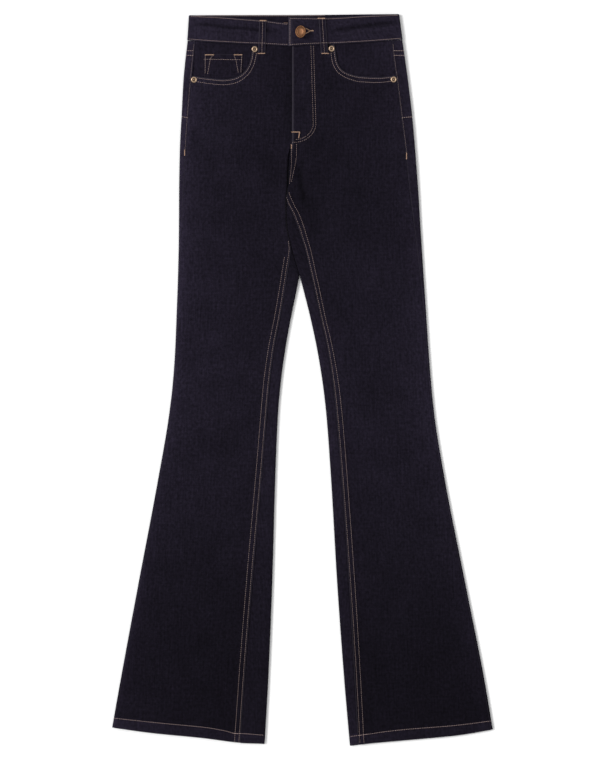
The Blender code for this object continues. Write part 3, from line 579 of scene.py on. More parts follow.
def waves(x, drop, seed, amount, length):
    """A few long soft waves across the cloth, the same on each run."""
    rng = np.random.default_rng(seed)
    total = np.zeros(np.shape(x))
    for _ in range(7):
        angle = rng.uniform(0.0, math.pi)
        size = length * rng.uniform(0.6, 1.8)
        phase = rng.uniform(0.0, 2 * math.pi)
        way = x * math.cos(angle) + drop * math.sin(angle)
        total = total + np.sin(way * 2 * math.pi / size + phase)
    return amount * total / 7 ** 0.5


def beside(x, drop, path):
    """Distance of points from a polyline, and how far along it the nearest place is."""
    path = np.array(path, float)
    keys = lengths(path)
    best = np.full(np.shape(x), 1e9)
    share = np.zeros(np.shape(x))
    for i, ((ax, ay), (bx, by)) in enumerate(zip(path, path[1:])):
        dx, dy = bx - ax, by - ay
        t = np.clip(((x - ax) * dx + (drop - ay) * dy) / max(dx * dx + dy * dy, 1e-9), 0.0, 1.0)
        distance = np.hypot(x - ax - t * dx, drop - ay - t * dy)
        closer = distance < best
        best = np.where(closer, distance, best)
        share = np.where(closer, mix(keys[i], keys[i + 1], t) / keys[-1], share)
    return best, share


def creases(piece, x, drop):
    """Soft troughs and ridges, each fading towards its ends."""
    total = np.zeros(np.shape(x))
    for row in rows_of(CREASES, CREASE_COLUMNS):
        if row["piece"] == piece:
            distance, share = beside(x, drop, row["line"])
            ends = ease(share, 0.0, 0.22) * fade(share, 0.78, 1.0)
            total = total - row["depth"] * bell(distance, row["width"]) * ends
    return total


def puckers(along_seam, seed):
    """The small uneven pull of the thread along a seam."""
    turns = along_seam * 2 * math.pi
    return 0.55 * np.sin(turns / 8.3 + seed) + 0.45 * np.sin(turns / 5.1 + 2.0 * seed)


def fly_path():
    """Outer of the two rows that hold the fly, from the waistband round to the fly's edge."""
    return smooth_path(((16.5, 47.0), (18.3, 110.0), (19.9, 167.0), (17.0, 176.0), (11.5, 183.0),
                        (2.0, 189.5), (-7.0, 192.0), (-16.0, 192.6)), 60)


def inset_path(path, distance):
    """A path beside another, on its left when it is walked."""
    step = unit(np.gradient(path, axis=0))
    return path + np.stack([step[:, 1], -step[:, 0]], axis=1) * distance


FLY_OUTER = fly_path()
FLY_INNER = inset_path(FLY_OUTER, -3.9)


def front_relief(leg, x, drop, distance):
    """What seams, turned edges and creases add to the height of a front panel."""
    way = WAY[leg]
    _, side, front, _ = lines(leg, drop)
    from_edge = (front - x) * way
    from_side = (x - side) * way
    row = FELL_ROW[leg + "_outer"](drop)
    near_row = FELL_ROW[leg + "_inner"](drop)
    fell = ease(drop, 256.0, 276.0)
    total = fell * 0.5 * fade(from_edge, row + 0.8, row + 2.4)
    total = total - fell * 0.2 * (bell(from_edge - near_row, 0.8) + bell(from_edge - row, 0.8))
    total = total + fell * 0.12 * puckers(drop, 1.0) * bell(from_edge - row / 2, 3.4)
    if leg == "right":
        groove = ease(drop, 326.0, 342.0) * fade(drop, 372.0, 392.0)
        total = total - 0.5 * groove * bell(from_edge - (row + near_row) / 2, 1.2)
    total = total - 0.25 * fade(from_side, 0.0, 1.6)
    mouth, share = beside(x, drop, MOUTH_LINE[leg])
    far_row = MOUTH_ROW["far"](share)
    total = total + 0.4 * fade(mouth, far_row + 2.0, far_row + 3.6)
    total = total - 0.18 * (bell(mouth - MOUTH_ROW["near"](share), 0.8) + bell(mouth - far_row, 0.8))
    total = total + 0.1 * puckers(x + drop, 2.0) * bell(mouth - 5.0, 3.4)
    under_band = drop - BAND_EDGE[leg](x)
    total = total - 0.5 * fade(under_band, 0.0, 5.0)
    turn = hem_turn(leg, x, drop)
    above_turn = ease(distance, turn - 0.4, turn + 0.9)
    total = total - 0.9 * fade(distance, HEM_DEPTH + 4.0, HEM_DEPTH + HEM_EASE) * above_turn
    total = total - 0.2 * bell(distance - turn + HEM_EDGE, 0.8) * (0.6 + 0.4 * puckers(x, 3.0))
    total = total + 0.16 * fade(distance, 0.0, HEM_DEPTH) * puckers(x * 0.6, 5.0)
    if leg == "left":
        rows = np.minimum(beside(x, drop, FLY_OUTER)[0], beside(x, drop, FLY_INNER)[0])
        total = total - 0.22 * bell(rows, 0.9)
        total = total + 0.35 * bell(from_edge - 1.6, 1.6) * fade(drop, 190.0, 215.0)
        rise = ease(drop, 190.0, 200.0) * fade(drop, 250.0, 262.0)
        total = total + 0.5 * rise * fade(from_edge, 8.0, 11.0)
    lip = ROLL_DEPTH[leg](drop) / ROLL_RADIUS
    total = total + 0.9 * lip * fade(from_edge, 2.0, 13.0)
    total = total - lip * quarter_round(from_edge, ROLL_RADIUS)
    total = total + creases("front_" + leg, x, drop)
    return total + 0.35 + waves(x, drop, 3 if leg == "right" else 8, 0.3, 80.0)


def quarter_round(distance, radius):
    """How far a surface falls away at an edge that turns over, by distance from the edge."""
    inside = np.clip(1.0 - distance / radius, 0.0, 1.0)
    return radius * (1.0 - np.sqrt(1.0 - inside ** 2))


def tucked(leg, drop):
    """Where the inner roll of the back lies hidden under its own front panel."""
    if leg == "right":
        return ease(drop, 258.0, 270.0) * fade(drop, 334.0, 352.0)
    return ease(drop, 258.0, 268.0) * fade(drop, 274.0, 288.0)


# ---- closed shells of cloth

def tangents(points, axis):
    steps = unit(np.diff(points, axis=axis))
    first = np.take(steps, [0], axis=axis)
    last = np.take(steps, [-1], axis=axis)
    return unit(np.concatenate([first, steps], axis=axis) + np.concatenate([steps, last], axis=axis))


def running(points, axis):
    """Length along one way of a grid, from its first row or column."""
    steps = np.linalg.norm(np.diff(points, axis=axis), axis=-1)
    start = np.zeros_like(np.take(steps, [0], axis=axis))
    return np.concatenate([start, np.cumsum(steps, axis=axis)], axis=axis)


def grid_of(x, drop, z):
    return np.stack(np.broadcast_arrays(x, drop, z), axis=-1)


def to_metres(points):
    placed = np.array(points, float)
    placed[..., 1] = LENGTH / 2 - placed[..., 1]
    return placed * MM


CLOTH = []             # points and faces of every shell, for the stitches to lie on
ALL_EDGES = ("top", "bottom", "start", "end")
DOWN = np.array((0.0, 0.0, -1.0))
TURN_SHARE = 0.48      # radius of a turned edge, as a share of the cloth's thickness
WEAVE_APART = 37.0     # keeps the weave of each shell apart from the others'
SHARP_ANGLE = math.radians(50.0)


def rim_drop(grid, borders, radius):
    """How far the outside draws in where an edge turns over, for each point of a grid."""
    down = running(grid, 0)
    across = running(grid, 1)
    edges = {"top": down, "bottom": down[-1:] - down, "start": across, "end": across[:, -1:] - across}
    return np.max([0.0 * down] + [quarter_round(edges[name], radius) for name in borders], axis=0)


def shell(name, grid, plies, inward=None, borders=ALL_EDGES, tone=1.0, wear=0.0, weave=None):
    """A closed shell of cloth from the grid of points on its outside.

    inward None lays it on what is below; +1 or -1 wraps it along its own normal, and "up"
    hangs it under what is above. The borders named here turn over.
    """
    size = grid.shape[:2]
    plies = np.broadcast_to(np.array(plies, float), size)
    if inward is None:
        direction = np.broadcast_to(DOWN, grid.shape)
    elif inward == "up":
        direction = np.broadcast_to(-DOWN, grid.shape)
    else:
        direction = unit(np.cross(tangents(grid, 1), tangents(grid, 0))) * inward
    draw = rim_drop(grid, borders, TURN_SHARE * float(plies.min()))[..., None]
    outside = grid + direction * draw
    inside = grid + direction * (plies[..., None] - draw)
    rows, columns = size
    shift = rows * columns
    a = (np.arange(rows - 1)[:, None] * columns + np.arange(columns - 1)[None, :]).ravel()
    quads = np.stack([a, a + 1, a + columns + 1, a + columns], axis=1)
    ring = np.concatenate([np.arange(columns), np.arange(1, rows) * columns + columns - 1,
                           (rows - 1) * columns + np.arange(columns - 2, -1, -1),
                           np.arange(rows - 2, 0, -1) * columns])
    after = np.roll(ring, -1)
    rim = np.stack([after, ring, ring + shift, after + shift], axis=1)
    placed = to_metres(np.concatenate([outside.reshape(-1, 3), inside.reshape(-1, 3)]))
    faces = outward(placed, np.concatenate([quads, quads[:, ::-1] + shift, rim]))
    piece = new_piece(name, placed, faces)
    place = grid[..., :2] if weave is None else weave
    apart = np.full(size + (1,), WEAVE_APART * len(CLOTH))
    paint(piece, "weave", np.tile(np.concatenate([place, apart], axis=-1).reshape(-1, 3), (2, 1)))
    paint(piece, "tone", np.tile(np.broadcast_to(tone, size).ravel(), 2))
    worn = np.broadcast_to(wear, size).ravel()
    paint(piece, "wear", np.concatenate([worn, worn * 0.0]))
    CLOTH.append((placed, faces))
    return piece


def outward(points, faces):
    """The faces of a closed mesh, turned to point out."""
    a, b, c, d = (points[faces[:, k]] for k in range(4))
    volume = float(np.sum(np.cross(a, b) * c) + np.sum(np.cross(a, c) * d))
    return faces[:, ::-1] if volume < 0.0 else faces


def add_piece(name, mesh):
    piece = bpy.data.objects.new(name, mesh)
    bpy.context.scene.collection.objects.link(piece)
    return piece


def new_piece(name, points, faces, smooth=True):
    mesh = bpy.data.meshes.new(name)
    mesh.vertices.add(len(points))
    mesh.vertices.foreach_set("co", np.asarray(points, np.float32).ravel())
    corners = faces.shape[1]
    mesh.loops.add(faces.size)
    mesh.loops.foreach_set("vertex_index", faces.astype(np.int32).ravel())
    mesh.polygons.add(len(faces))
    mesh.polygons.foreach_set("loop_start", np.arange(len(faces), dtype=np.int32) * corners)
    mesh.update(calc_edges=True)
    mesh.validate()
    if smooth:
        mesh.shade_smooth()
        mesh.set_sharp_from_angle(angle=SHARP_ANGLE)
    return add_piece(name, mesh)


def paint(piece, name, values):
    """Keeps a number or a vector for each point of a piece, which the finishes read."""
    values = np.asarray(values, np.float32)
    kind, field = ("FLOAT_VECTOR", "vector") if values.ndim == 2 else ("FLOAT", "value")
    layer = piece.data.attributes.new(name, kind, "POINT")
    layer.data.foreach_set(field, values.ravel())


# ---- leg panels

EDGE_NEAR = (0.0, 0.2, 0.5, 1.0, 1.8)
SIDE_NEAR = (0.0, 0.2, 0.5, 1.0, 1.8, 3.0, 4.6)
SEAM_NEAR = (0.0, 0.2, 0.5, 1.0, 1.5, 2.0, 2.5, 3.2, 4.2, 5.2, 6.0, 6.8, 7.6, 8.4, 9.2, 10.0, 10.8,
             11.8, 14.0)
MOUTH_NEAR = (0.0, 0.2, 0.5, 1.0, 1.6, 2.1, 2.6, 3.4, 4.4, 5.6, 6.6, 7.4, 8.2, 9.0, 9.8, 10.6, 11.4, 13.0)
HEM_RESTS = (21.0, 19.4, 18.6, 18.0, 17.4, 16.8, 16.2, 15.6, 15.0, 14.4, 13.6, 12.6, 11.0, 9.0, 7.0, 5.0,
             3.4, 2.2, 1.2, 0.6, 0.25, 0.0)
CREVICE_SPAN = (222.0, 312.0)     # drops between which the rows of a leg lie closest
STRAIGHT_TO = 600.0    # from here down the rows tilt towards the hem
BACK_FROM = 196.0      # first level row of a back, and below it those of the whole leg
HEM_LEVEL = 1085.0


def leg_drops(leg, acrosses, start):
    """Drops of a leg's rows: level down to the knee, then tilting until they follow the hem."""
    upper, lower = CREVICE_SPAN
    level = np.concatenate([np.arange(start, upper, 3.6), np.arange(upper, lower, 1.9),
                            np.arange(lower, STRAIGHT_TO, 4.6)])
    hem = HEM_LINE[leg](acrosses)
    tilt = np.linspace(0.0, 1.0, 96)[:, None]
    tilted = mix(STRAIGHT_TO, hem[None, :] - HEM_RESTS[0], tilt)
    last = hem[None, :] - np.array(HEM_RESTS[1:])[:, None]
    level = np.broadcast_to(level[:, None], (len(level), len(acrosses)))
    return np.concatenate([level, tilted, last])


def hem_plies(distance, turn):
    return mix(BAND_PLY, PLY, ease(distance, turn - 0.5, turn + 0.8))


def weave_of(leg, x, drop):
    """Where a point of a panel lies in the weave: level with its own leg's grain."""
    grain = 0.5 * (lines(leg, drop)[0] + lines(leg, drop)[3])
    return np.stack([x - 0.35 * grain, drop], axis=-1)


def front_grid(leg):
    mouth = mouth_path(leg, 60)[::-1]
    mouth[0, 0] = lines(leg, mouth[0, 1])[1]
    corner_x = mouth[-1, 0]
    fly_x = lines(leg, 60.0)[2]
    kept = mouth[mouth[:, 1] > BAND_EDGE[leg](mouth[:, 0]) + 2 * GAP]
    edge_x = np.linspace(corner_x, fly_x, 12)
    top = np.concatenate([kept, np.stack([edge_x, BAND_EDGE[leg](edge_x) + GAP], axis=1)])
    shares = shares_of(165.0, 4.2, SIDE_NEAR, SEAM_NEAR)
    start = along(top, shares)
    v = shares_of(62.0, 3.0, MOUTH_NEAR)[:-1, None]
    _, side, front, _ = lines(leg, RAIL)
    drop = mix(start[None, :, 1], RAIL, v)
    x = mix(start[None, :, 0], mix(side, front, shares)[None, :], v)
    x = x + (lines(leg, drop[:, :1])[1] - x[:, :1]) * (1.0 - shares) ** 6
    x = x + (lines(leg, drop[:, -1:])[2] - x[:, -1:]) * shares ** 6
    _, side, front, _ = lines(leg, HEM_LEVEL)
    acrosses = across_of(leg, mix(side, front, shares), HEM_LEVEL)
    leg_drop = leg_drops(leg, acrosses, RAIL)
    _, side, front, _ = lines(leg, leg_drop)
    leg_x = mix(side - WAY[leg] * BUTT, front + WAY[leg] * BUTT, shares)
    return np.concatenate([x, leg_x]), np.concatenate([drop, leg_drop])


def make_front(leg):
    x, drop = front_grid(leg)
    distance = hem_distance(leg, x, drop)
    z = panel_top(leg, x, drop) + front_relief(leg, x, drop, distance)
    from_edge = np.abs(lines(leg, drop)[2] - x)
    fly = fade(drop, 196.0, 214.0) * (1.0 if leg == "left" else 0.0)
    wear = 0.3 * bell(from_edge - 1.2, 1.2) * fly
    wear = wear + 0.16 * ease(drop, 256.0, 280.0) * bell(from_edge - 0.4, 0.7)
    mouth, share = beside(x, drop, MOUTH_LINE[leg])
    # The lighter line along the pocket mouth's edge is wear and a painted highlight.
    wear = wear + 0.24 * bell(mouth - 0.5, 0.8)
    wear = wear + 0.14 * bell(distance - 0.3, 0.7)
    turn = hem_turn(leg, x, drop)
    mouth_edge = MOUTH_ROW["far"](share) + 2.6
    seam_edge = FELL_ROW[leg + "_outer"](drop) + 1.4
    tone = tone_at(leg, x, drop)
    tone = tone * mix(1.0, HEM_TONE, fade(distance, turn - 0.6, turn + 0.4))
    tone = tone * (1.0 + 0.2 * fade(mouth, mouth_edge - 1.4, mouth_edge))
    on_fell = ease(drop, 262.0, 290.0) * fade(from_edge, seam_edge - 1.4, seam_edge)
    tone = tone * (1.0 + 0.16 * on_fell)
    # Above the crotch the left front's fly is painted a little lighter, and the right front is painted
    # darker beside the fly's edge as a painted shadow of the fly's lap.
    above = fade(drop, 186.0, 204.0)
    if leg == "left":
        tone = tone * (1.0 + 0.14 * above * fade(x, 10.0, 22.0))
    else:
        tone = tone * (1.0 - 0.2 * above * bell(x - FLY_EDGE, 11.0))
    # The troughs of the creases are painted darker as painted shade.
    tone = tone * (1.0 + 0.3 * np.clip(creases("front_" + leg, x, drop), -2.0, 0.0))
    # The edges rolling into the crevice are painted darker as painted shade.
    depth = ROLL_DEPTH[leg](drop) / ROLL_RADIUS
    tone = tone * (1.0 - 0.75 * depth * fade(from_edge, 0.6, 2.4))
    return shell("denim_front_" + leg, grid_of(x, drop, z), hem_plies(distance, turn), tone=tone,
                 wear=wear, weave=weave_of(leg, x, drop))


# Columns of a back panel: the zone each lies in, and how far through it.
BACK_ZONES = (
    ("strip", shares_of(10.0, 1.6, (0.0, 0.3, 0.8))[:-1]),
    ("outer", np.linspace(0.0, 1.0, 11)),
    ("under", shares_of(180.0, 6.0)[1:-1]),
    ("inner", np.linspace(0.0, 1.0, 11)),
    ("over", shares_of(14.0, 1.7, (0.0,), (0.0, 0.3, 0.8))[1:]),
)


def back_point(leg, zone, t, drop, distance):
    """X and height of the outside of a back panel at one place in its section."""
    way = WAY[leg]
    outer, side, front, inner = lines(leg, drop)
    lift, fold, _ = levels(drop, distance)
    radius = (fold - lift) / 2
    if zone == "strip":
        x = mix(side - way * (GAP - BUTT), outer + way * radius, t)
        return x, front_top(leg, x, drop)
    if zone == "outer":
        angle = math.pi * (0.5 + t)
        return outer + way * radius * (1.0 + np.cos(angle)), lift + radius * (1.0 + np.sin(angle))
    tuck = tucked(leg, drop)
    roll = rolled(drop)
    inner = inner - way * 0.3 * tuck
    radius = (fold - TUCK_DEPTH * tuck - lift) / 2
    over = np.maximum((inner - front) * way - radius - (GAP - BUTT), SEAT_END)
    strip = mix(SEAT_SPARE, over, roll)
    angle = np.maximum(math.pi * roll, 1e-3)
    bend = math.pi * radius * (1.0 - 2.0 * roll * (1.0 - roll)) / angle
    end_x = bend * np.sin(angle)
    last_x = end_x + strip * np.cos(angle)
    far = np.where(angle >= math.pi / 2, bend, last_x)
    if zone == "under":
        return mix(outer + way * (fold - lift) / 2, inner - way * far, t), lift + 0.0 * drop
    if zone == "inner":
        x = inner - way * (far - bend * np.sin(angle * t))
        return x, lift + bend * (1.0 - np.cos(angle * t))
    x = inner - way * (far - end_x - strip * t * np.cos(angle))
    z = lift + bend * (1.0 - np.cos(angle)) + strip * t * np.sin(angle)
    return x, mix(z, front_top(leg, x, drop) - TUCK_DEPTH * tuck, roll ** 4)


def back_columns(leg, drop, distance):
    """The grid of a back piece from the drops of its points, column by column."""
    xs = []
    zs = []
    column = 0
    for zone, shares in BACK_ZONES:
        for t in shares:
            x, z = back_point(leg, zone, t, drop[:, column], distance[:, column])
            xs.append(x)
            zs.append(z)
            column += 1
    return np.stack(xs, axis=1), np.stack(zs, axis=1)


def back_places():
    """For each column of a back: its place among the seams across it, and across the hem."""
    places = {"strip": (0.0, 0.6), "outer": (0.6, 1.4), "under": (1.4, 4.6), "inner": (4.6, 4.85),
              "over": (4.85, 5.0)}
    hems = {"strip": (0.012, 0.0), "outer": (0.0, 0.0), "under": (0.0, 1.0), "inner": (1.0, 1.0),
            "over": (0.98, 0.88)}
    place = np.concatenate([mix(*places[zone], shares) for zone, shares in BACK_ZONES])
    across = np.concatenate([mix(*hems[zone], shares) for zone, shares in BACK_ZONES])
    return place, across


def make_back_piece(name, leg, drop):
    """One piece of the back, with a ridge along its seams where they show on top."""
    place, across = back_places()
    hem = HEM_LINE[leg](across)[None, :] - drop
    x, z = back_columns(leg, drop, hem)
    zones = np.concatenate([[zone] * len(shares) for zone, shares in BACK_ZONES])
    on_side = (zones == "strip")[None, :]
    on_inseam = (zones == "over")[None, :]
    way = WAY[leg]
    _, side, front, _ = lines(leg, drop)
    from_side = (side - x) * way
    z = z + on_side * 0.35 * fade(from_side, 3.4, 5.4) * fade(drop, 210.0, 300.0)
    z = z - on_side * 0.18 * bell(from_side - 2.0, 0.8) * fade(drop, 215.0, 235.0)
    z = z - on_inseam * 0.3 * fade((x - front) * way, 0.0, 2.4) * rolled(drop)
    grid = grid_of(x, drop, z)
    folded = fade(place, 0.8, 1.3)[None, :]
    turned_in = ease(place, 4.6, 4.8)[None, :] * rolled(drop)
    # The strip and the outer fold of the back take the front's tone with the painted highlight of the
    # fold; the turned-in strip is painted darker in the fork as painted shade.
    tone = mix(1.0, tone_at(leg, np.where(on_side, x, lines(leg, drop)[0]), drop), folded)
    tone = mix(tone, DYE_AND_PAINTED_LIGHT[leg + "_strip"](drop), turned_in)
    turn = (HEM_ROW[leg](across) + HEM_EDGE)[None, :]
    tone = tone * mix(1.0, HEM_TONE, fade(hem, turn - 0.6, turn + 0.4))
    wear = 0.14 * bell(hem - 0.3, 0.7) + on_side * 0.12 * bell(from_side - 0.5, 0.7)
    weave = np.stack([running(grid, 1), drop], axis=-1)
    return shell(name + leg, grid, hem_plies(hem, turn), way, tone=tone, wear=wear, weave=weave)


def between(upper, lower):
    """Drops of the rows between two lines across a back."""
    shares = shares_of(float(np.mean(lower - upper)), 4.0, EDGE_NEAR, EDGE_NEAR)[:, None]
    return mix(upper[None, :], lower[None, :], shares)


def make_back(leg):
    place, across = back_places()
    outer, side, _, inner = lines(leg, 42.0)
    turned_in = ease(place, 0.6, 1.4)
    upper_front = BAND_EDGE[leg](mix(side, outer, np.clip(place, 0.0, 1.0)))
    upper_back = BAND_EDGE["back"](mix(outer, inner, across))
    waist = mix(upper_front, upper_back, turned_in) + GAP
    yoke = BACK_SEAM["yoke"](place)
    contour = BACK_SEAM["contour"](place)
    half = (GAP - BUTT) / 2
    yoke_piece = make_back_piece("denim_yoke_", leg, between(waist, yoke - half))
    hip_piece = make_back_piece("denim_hip_", leg, between(yoke + half, contour - half))
    head = between(contour + half, np.full(len(place), BACK_FROM))[:-1]
    drop = np.concatenate([head, leg_drops(leg, across, BACK_FROM)])
    back_piece = make_back_piece("denim_back_", leg, drop)
    return yoke_piece, hip_piece, back_piece


# ---- waistband and small cloth

def band_face(face, start, end, height, kept):
    """Stations of one face of the waistband, from one x of its lower edge to another."""
    count = max(int(abs(end - start) / BAND_STEP), 2)
    x_lower = np.linspace(start, end, count)
    edges = [band_curve(name, *BAND_FACES[face])(x_lower) for name in ("x_upper", "lower", "upper")]
    return np.array([x_lower] + edges + [np.full(count, height)])[:, kept]


def band_fold(row, shift, height):
    """Stations round the fold at one side of the waistband."""
    level = 0.0 * shift
    return np.array([row["x_lower"] + shift, row["x_upper"] + shift, row["lower"] + level,
                     row["upper"] + level, height])


def make_waistband():
    """One strip of doubled denim, folded at both sides, its left end lapping over the right."""
    radius = (BAND_FRONT - BAND_LIFT) / 2
    middle = BAND_LIFT + radius
    right, left = (row for row in rows_of(BAND, BAND_COLUMNS) if "fold" in row["face"])
    turns = np.linspace(0.0, math.pi, 15)
    inset = radius - radius * np.sin(turns)
    rise = radius * np.cos(turns)
    right_x = right["x_lower"] + radius
    left_x = left["x_lower"] - radius
    faces = [band_face("right", BAND_START, right_x, BAND_FRONT, slice(0, -1)),
             band_fold(right, inset, middle + rise),
             band_face("back", right_x, left_x, BAND_LIFT, slice(1, -1)),
             band_fold(left, -inset, middle - rise),
             band_face("left", left_x, BAND_END, BAND_FRONT, slice(1, None))]
    x_lower, x_upper, lower, upper, z = np.concatenate(faces, axis=1)[:, :, None]
    over = np.arange(len(z))[:, None] >= len(z) - faces[-1].shape[1]
    z = np.where(over, mix(BAND_OVER, BAND_FRONT, ease(x_lower, LAP_START, LAP_START + LAP_EASE)), z)
    s = shares_of(BAND_HEIGHT, 1.7, EDGE_NEAR, EDGE_NEAR)
    x = mix(x_upper, x_lower, s)
    drop = mix(upper, lower, s)
    on_front = z > middle
    crease = creases("waistband", x, drop)
    depth = drop - upper
    rest = lower - drop
    rows = 0.2 * (bell(depth - 1.9, 0.8) + bell(rest - 2.0, 0.8))
    soft = crease + 0.35 * bell(rest - 5.5, 3.5) + waves(x, drop, 5, 0.12, 40.0)
    grid = grid_of(x, drop, z + np.where(on_front, soft - rows, rows))
    end = np.where(over, np.abs(x - BAND_END), 99.0)
    # The wear over the last few millimetres of the lapping end stands for a painted highlight on its
    # rounded fold.
    wear = 0.16 * fade(end, 4.4, 6.0) + 0.16 * bell(end - 0.4, 0.7)
    wear = wear + 0.14 * bell(depth - 0.3, 0.7) + 0.12 * bell(rest - 0.3, 0.6)
    tone = 1.46 + 0.42 * ease(-x, 70.0, 165.0) + 0.2 * ease(x, 110.0, 145.0)
    # On the front of the band the troughs of the creases are painted darker as painted shade.
    tone = np.where(on_front, tone * (1.0 + 0.34 * np.clip(crease, -1.4, 0.0)), 1.0)
    weave = np.stack([running(grid, 0), running(grid, 1)], axis=-1)
    return shell("denim_waistband", grid, BAND_PLY, -1.0, tone=tone, wear=wear, weave=weave)


def facing_top(leg, x, drop):
    side = lines(leg, drop)[1]
    end_drop = columns_of(MOUTH, MOUTH_COLUMNS)[leg + "_drop"][-1]
    free = fade(np.abs(x - side), 1.0, 12.0)
    above = fade(drop, end_drop - 30.0, end_drop - 14.0)
    return front_top(leg, x, drop) - (LAYER + SINK) * (1.0 - free * above)


def make_facing(leg):
    """The denim behind a pocket mouth, tucked under the front panel's edge."""
    way = WAY[leg]
    mouth = mouth_path(leg, 56)[::-1]
    step = np.abs(unit(np.gradient(mouth, axis=0)))
    lower = mouth + TUCK * np.stack([way * step[:, 1], step[:, 0]], axis=1)
    corner_x = mouth[-1, 0] + way * TUCK
    lower[0, 0] = lines(leg, lower[0, 1])[1]
    lower[-1] = (corner_x, BAND_EDGE[leg](corner_x) + TUCK)
    x0 = np.linspace(lines(leg, 41.0)[1], corner_x, len(mouth))
    v = shares_of(60.0, 2.2, EDGE_NEAR)[:, None]
    x = mix(x0[None, :], lower[None, :, 0], v)
    drop = mix(BAND_EDGE[leg](x0)[None, :] + GAP, lower[None, :, 1], v)
    to_side = lines(leg, drop[:, :1])[1] - way * BUTT - x[:, :1]
    x = x + to_side * np.linspace(1.0, 0.0, len(mouth)) ** 8
    z = facing_top(leg, x, drop) + waves(x, drop, 11, 0.1, 38.0)
    z = z - 0.4 * fade(drop - BAND_EDGE[leg](x), 0.0, 4.5)
    from_side = np.abs(x - lines(leg, drop)[1])
    z = z - 0.25 * fade(from_side, 0.0, 1.6)
    tone = 1.0 + 0.5 * np.exp(-from_side / 9.0)
    return shell("denim_facing_" + leg, grid_of(x, drop, z), PLY, borders=("top", "start"), tone=tone)


def make_coin_pocket():
    v = shares_of(COIN_LOWER - COIN_UPPER, 1.9, EDGE_NEAR)[:, None]
    u = shares_of(COIN_X[1] - COIN_X[0], 2.0, EDGE_NEAR, EDGE_NEAR)
    drop = mix(COIN_UPPER, COIN_LOWER, v)
    left = COIN_X[0] + COIN_TAPER * v
    right = COIN_X[1] - COIN_TAPER * v
    x = mix(left, right, u)
    rest = drop - COIN_UPPER
    z = facing_top("right", x, drop) + LAYER + RISE
    z = z + 0.3 * fade(rest, 8.2, 9.6) - 0.15 * bell(rest - 7.9, 0.8)
    z = z + 0.12 * puckers(x, 4.0) * bell(rest - 4.0, 4.0)
    wear = 0.1 * bell(rest - 0.3, 0.8) + 0.1 * bell(np.minimum(x - left, right - x) - 0.3, 0.7)
    return shell("denim_coin_pocket", grid_of(x, drop, z), PLY, borders=("top", "start", "end"),
                 tone=1.1, wear=wear)


def make_back_pocket(leg):
    """A plain five-sided patch pocket, under the back."""
    table = columns_of(BACK_POCKET, BACK_POCKET_COLUMNS)
    half = curve(table["drop"], table["half_width"])
    side_drop, point_drop = table["drop"][2:]
    v = shares_of(point_drop, 4.0, EDGE_NEAR, EDGE_NEAR)[:, None]
    u = 2.0 * shares_of(130.0, 5.0, EDGE_NEAR, EDGE_NEAR) - 1.0
    down = mix(point_drop, side_drop, np.abs(u)) * v
    x = BACK_POCKET_X[leg] + u * half(np.minimum(down, side_drop))
    return shell("denim_back_pocket_" + leg, grid_of(x, BACK_POCKET_TOP + down, 0.0), PLY, "up",
                 wear=0.3 * bell(down - 0.3, 0.8), weave=np.stack([x, down], axis=-1))


def band_top(x):
    return np.where(x < FLY_EDGE, BAND_FRONT,
                    mix(BAND_OVER, BAND_FRONT, np.clip((x - LAP_START) / LAP_EASE, 0.0, 1.0)))


def loop_profile(side):
    """Height of a belt loop across its width: two turned edges and a shallow middle."""
    return 0.22 * bell(np.abs(side) - 0.34, 0.1) - 0.16 * bell(side, 0.14)


def loop_sides(spacing):
    """Shares across a belt loop, from -0.5 to 0.5."""
    near = EDGE_NEAR[:3]
    return shares_of(LOOP_WIDTH, spacing, near, near) - 0.5


def make_front_loop(name, x_upper, x_lower, upper, lower):
    leg = "right" if x_upper < 0 else "left"
    v = shares_of(lower - upper, 1.6, EDGE_NEAR, EDGE_NEAR)[:, None]
    side = loop_sides(0.7)
    drop = mix(upper, lower, v)
    x = mix(x_upper, x_lower, v) + side * LOOP_WIDTH
    edge = BAND_EDGE[leg](x)
    on_band = fade(drop, edge + 0.8, edge + 9.0)
    ends = np.minimum(v, 1.0 - v) * (lower - upper)
    z = mix(panel_top(leg, x, drop) + 0.1, band_top(x), on_band) + GAP + RISE + LOOP_PLY
    z = z + loop_profile(side) - 0.75 * bell(ends - 0.5, 2.2) + 0.5 * bell(drop - edge, 8.0)
    return shell("denim_" + name, grid_of(x, drop, z), LOOP_PLY, tone=1.15,
                 wear=0.3 * bell(np.abs(side) - 0.46, 0.05))


def make_back_loop(name, x):
    upper, lower = BACK_LOOP_ENDS
    drop = mix(upper, lower, shares_of(lower - upper, 3.0, EDGE_NEAR, EDGE_NEAR)[:, None])
    side = loop_sides(0.9)
    grid = grid_of(x + side * LOOP_WIDTH, drop, -0.3 * loop_profile(side))
    wear = 0.5 * bell(np.abs(side) - 0.46, 0.05)
    return shell("denim_" + name, grid, LOOP_PLY, "up", tone=1.1, wear=wear)


def zip_level(drop):
    return front_top("left", ZIP_X + FLY_WIDTH, drop) - LAYER - SINK


def make_zip_tape():
    drop = mix(*ZIP_ENDS, shares_of(ZIP_ENDS[1] - ZIP_ENDS[0], 3.0, EDGE_NEAR, EDGE_NEAR)[:, None])
    x = ZIP_X + (shares_of(ZIP_WIDTH, 1.6) - 0.5) * ZIP_WIDTH
    return shell("woven_zip_tape", grid_of(x, drop, zip_level(drop)), TAPE_PLY, borders=())


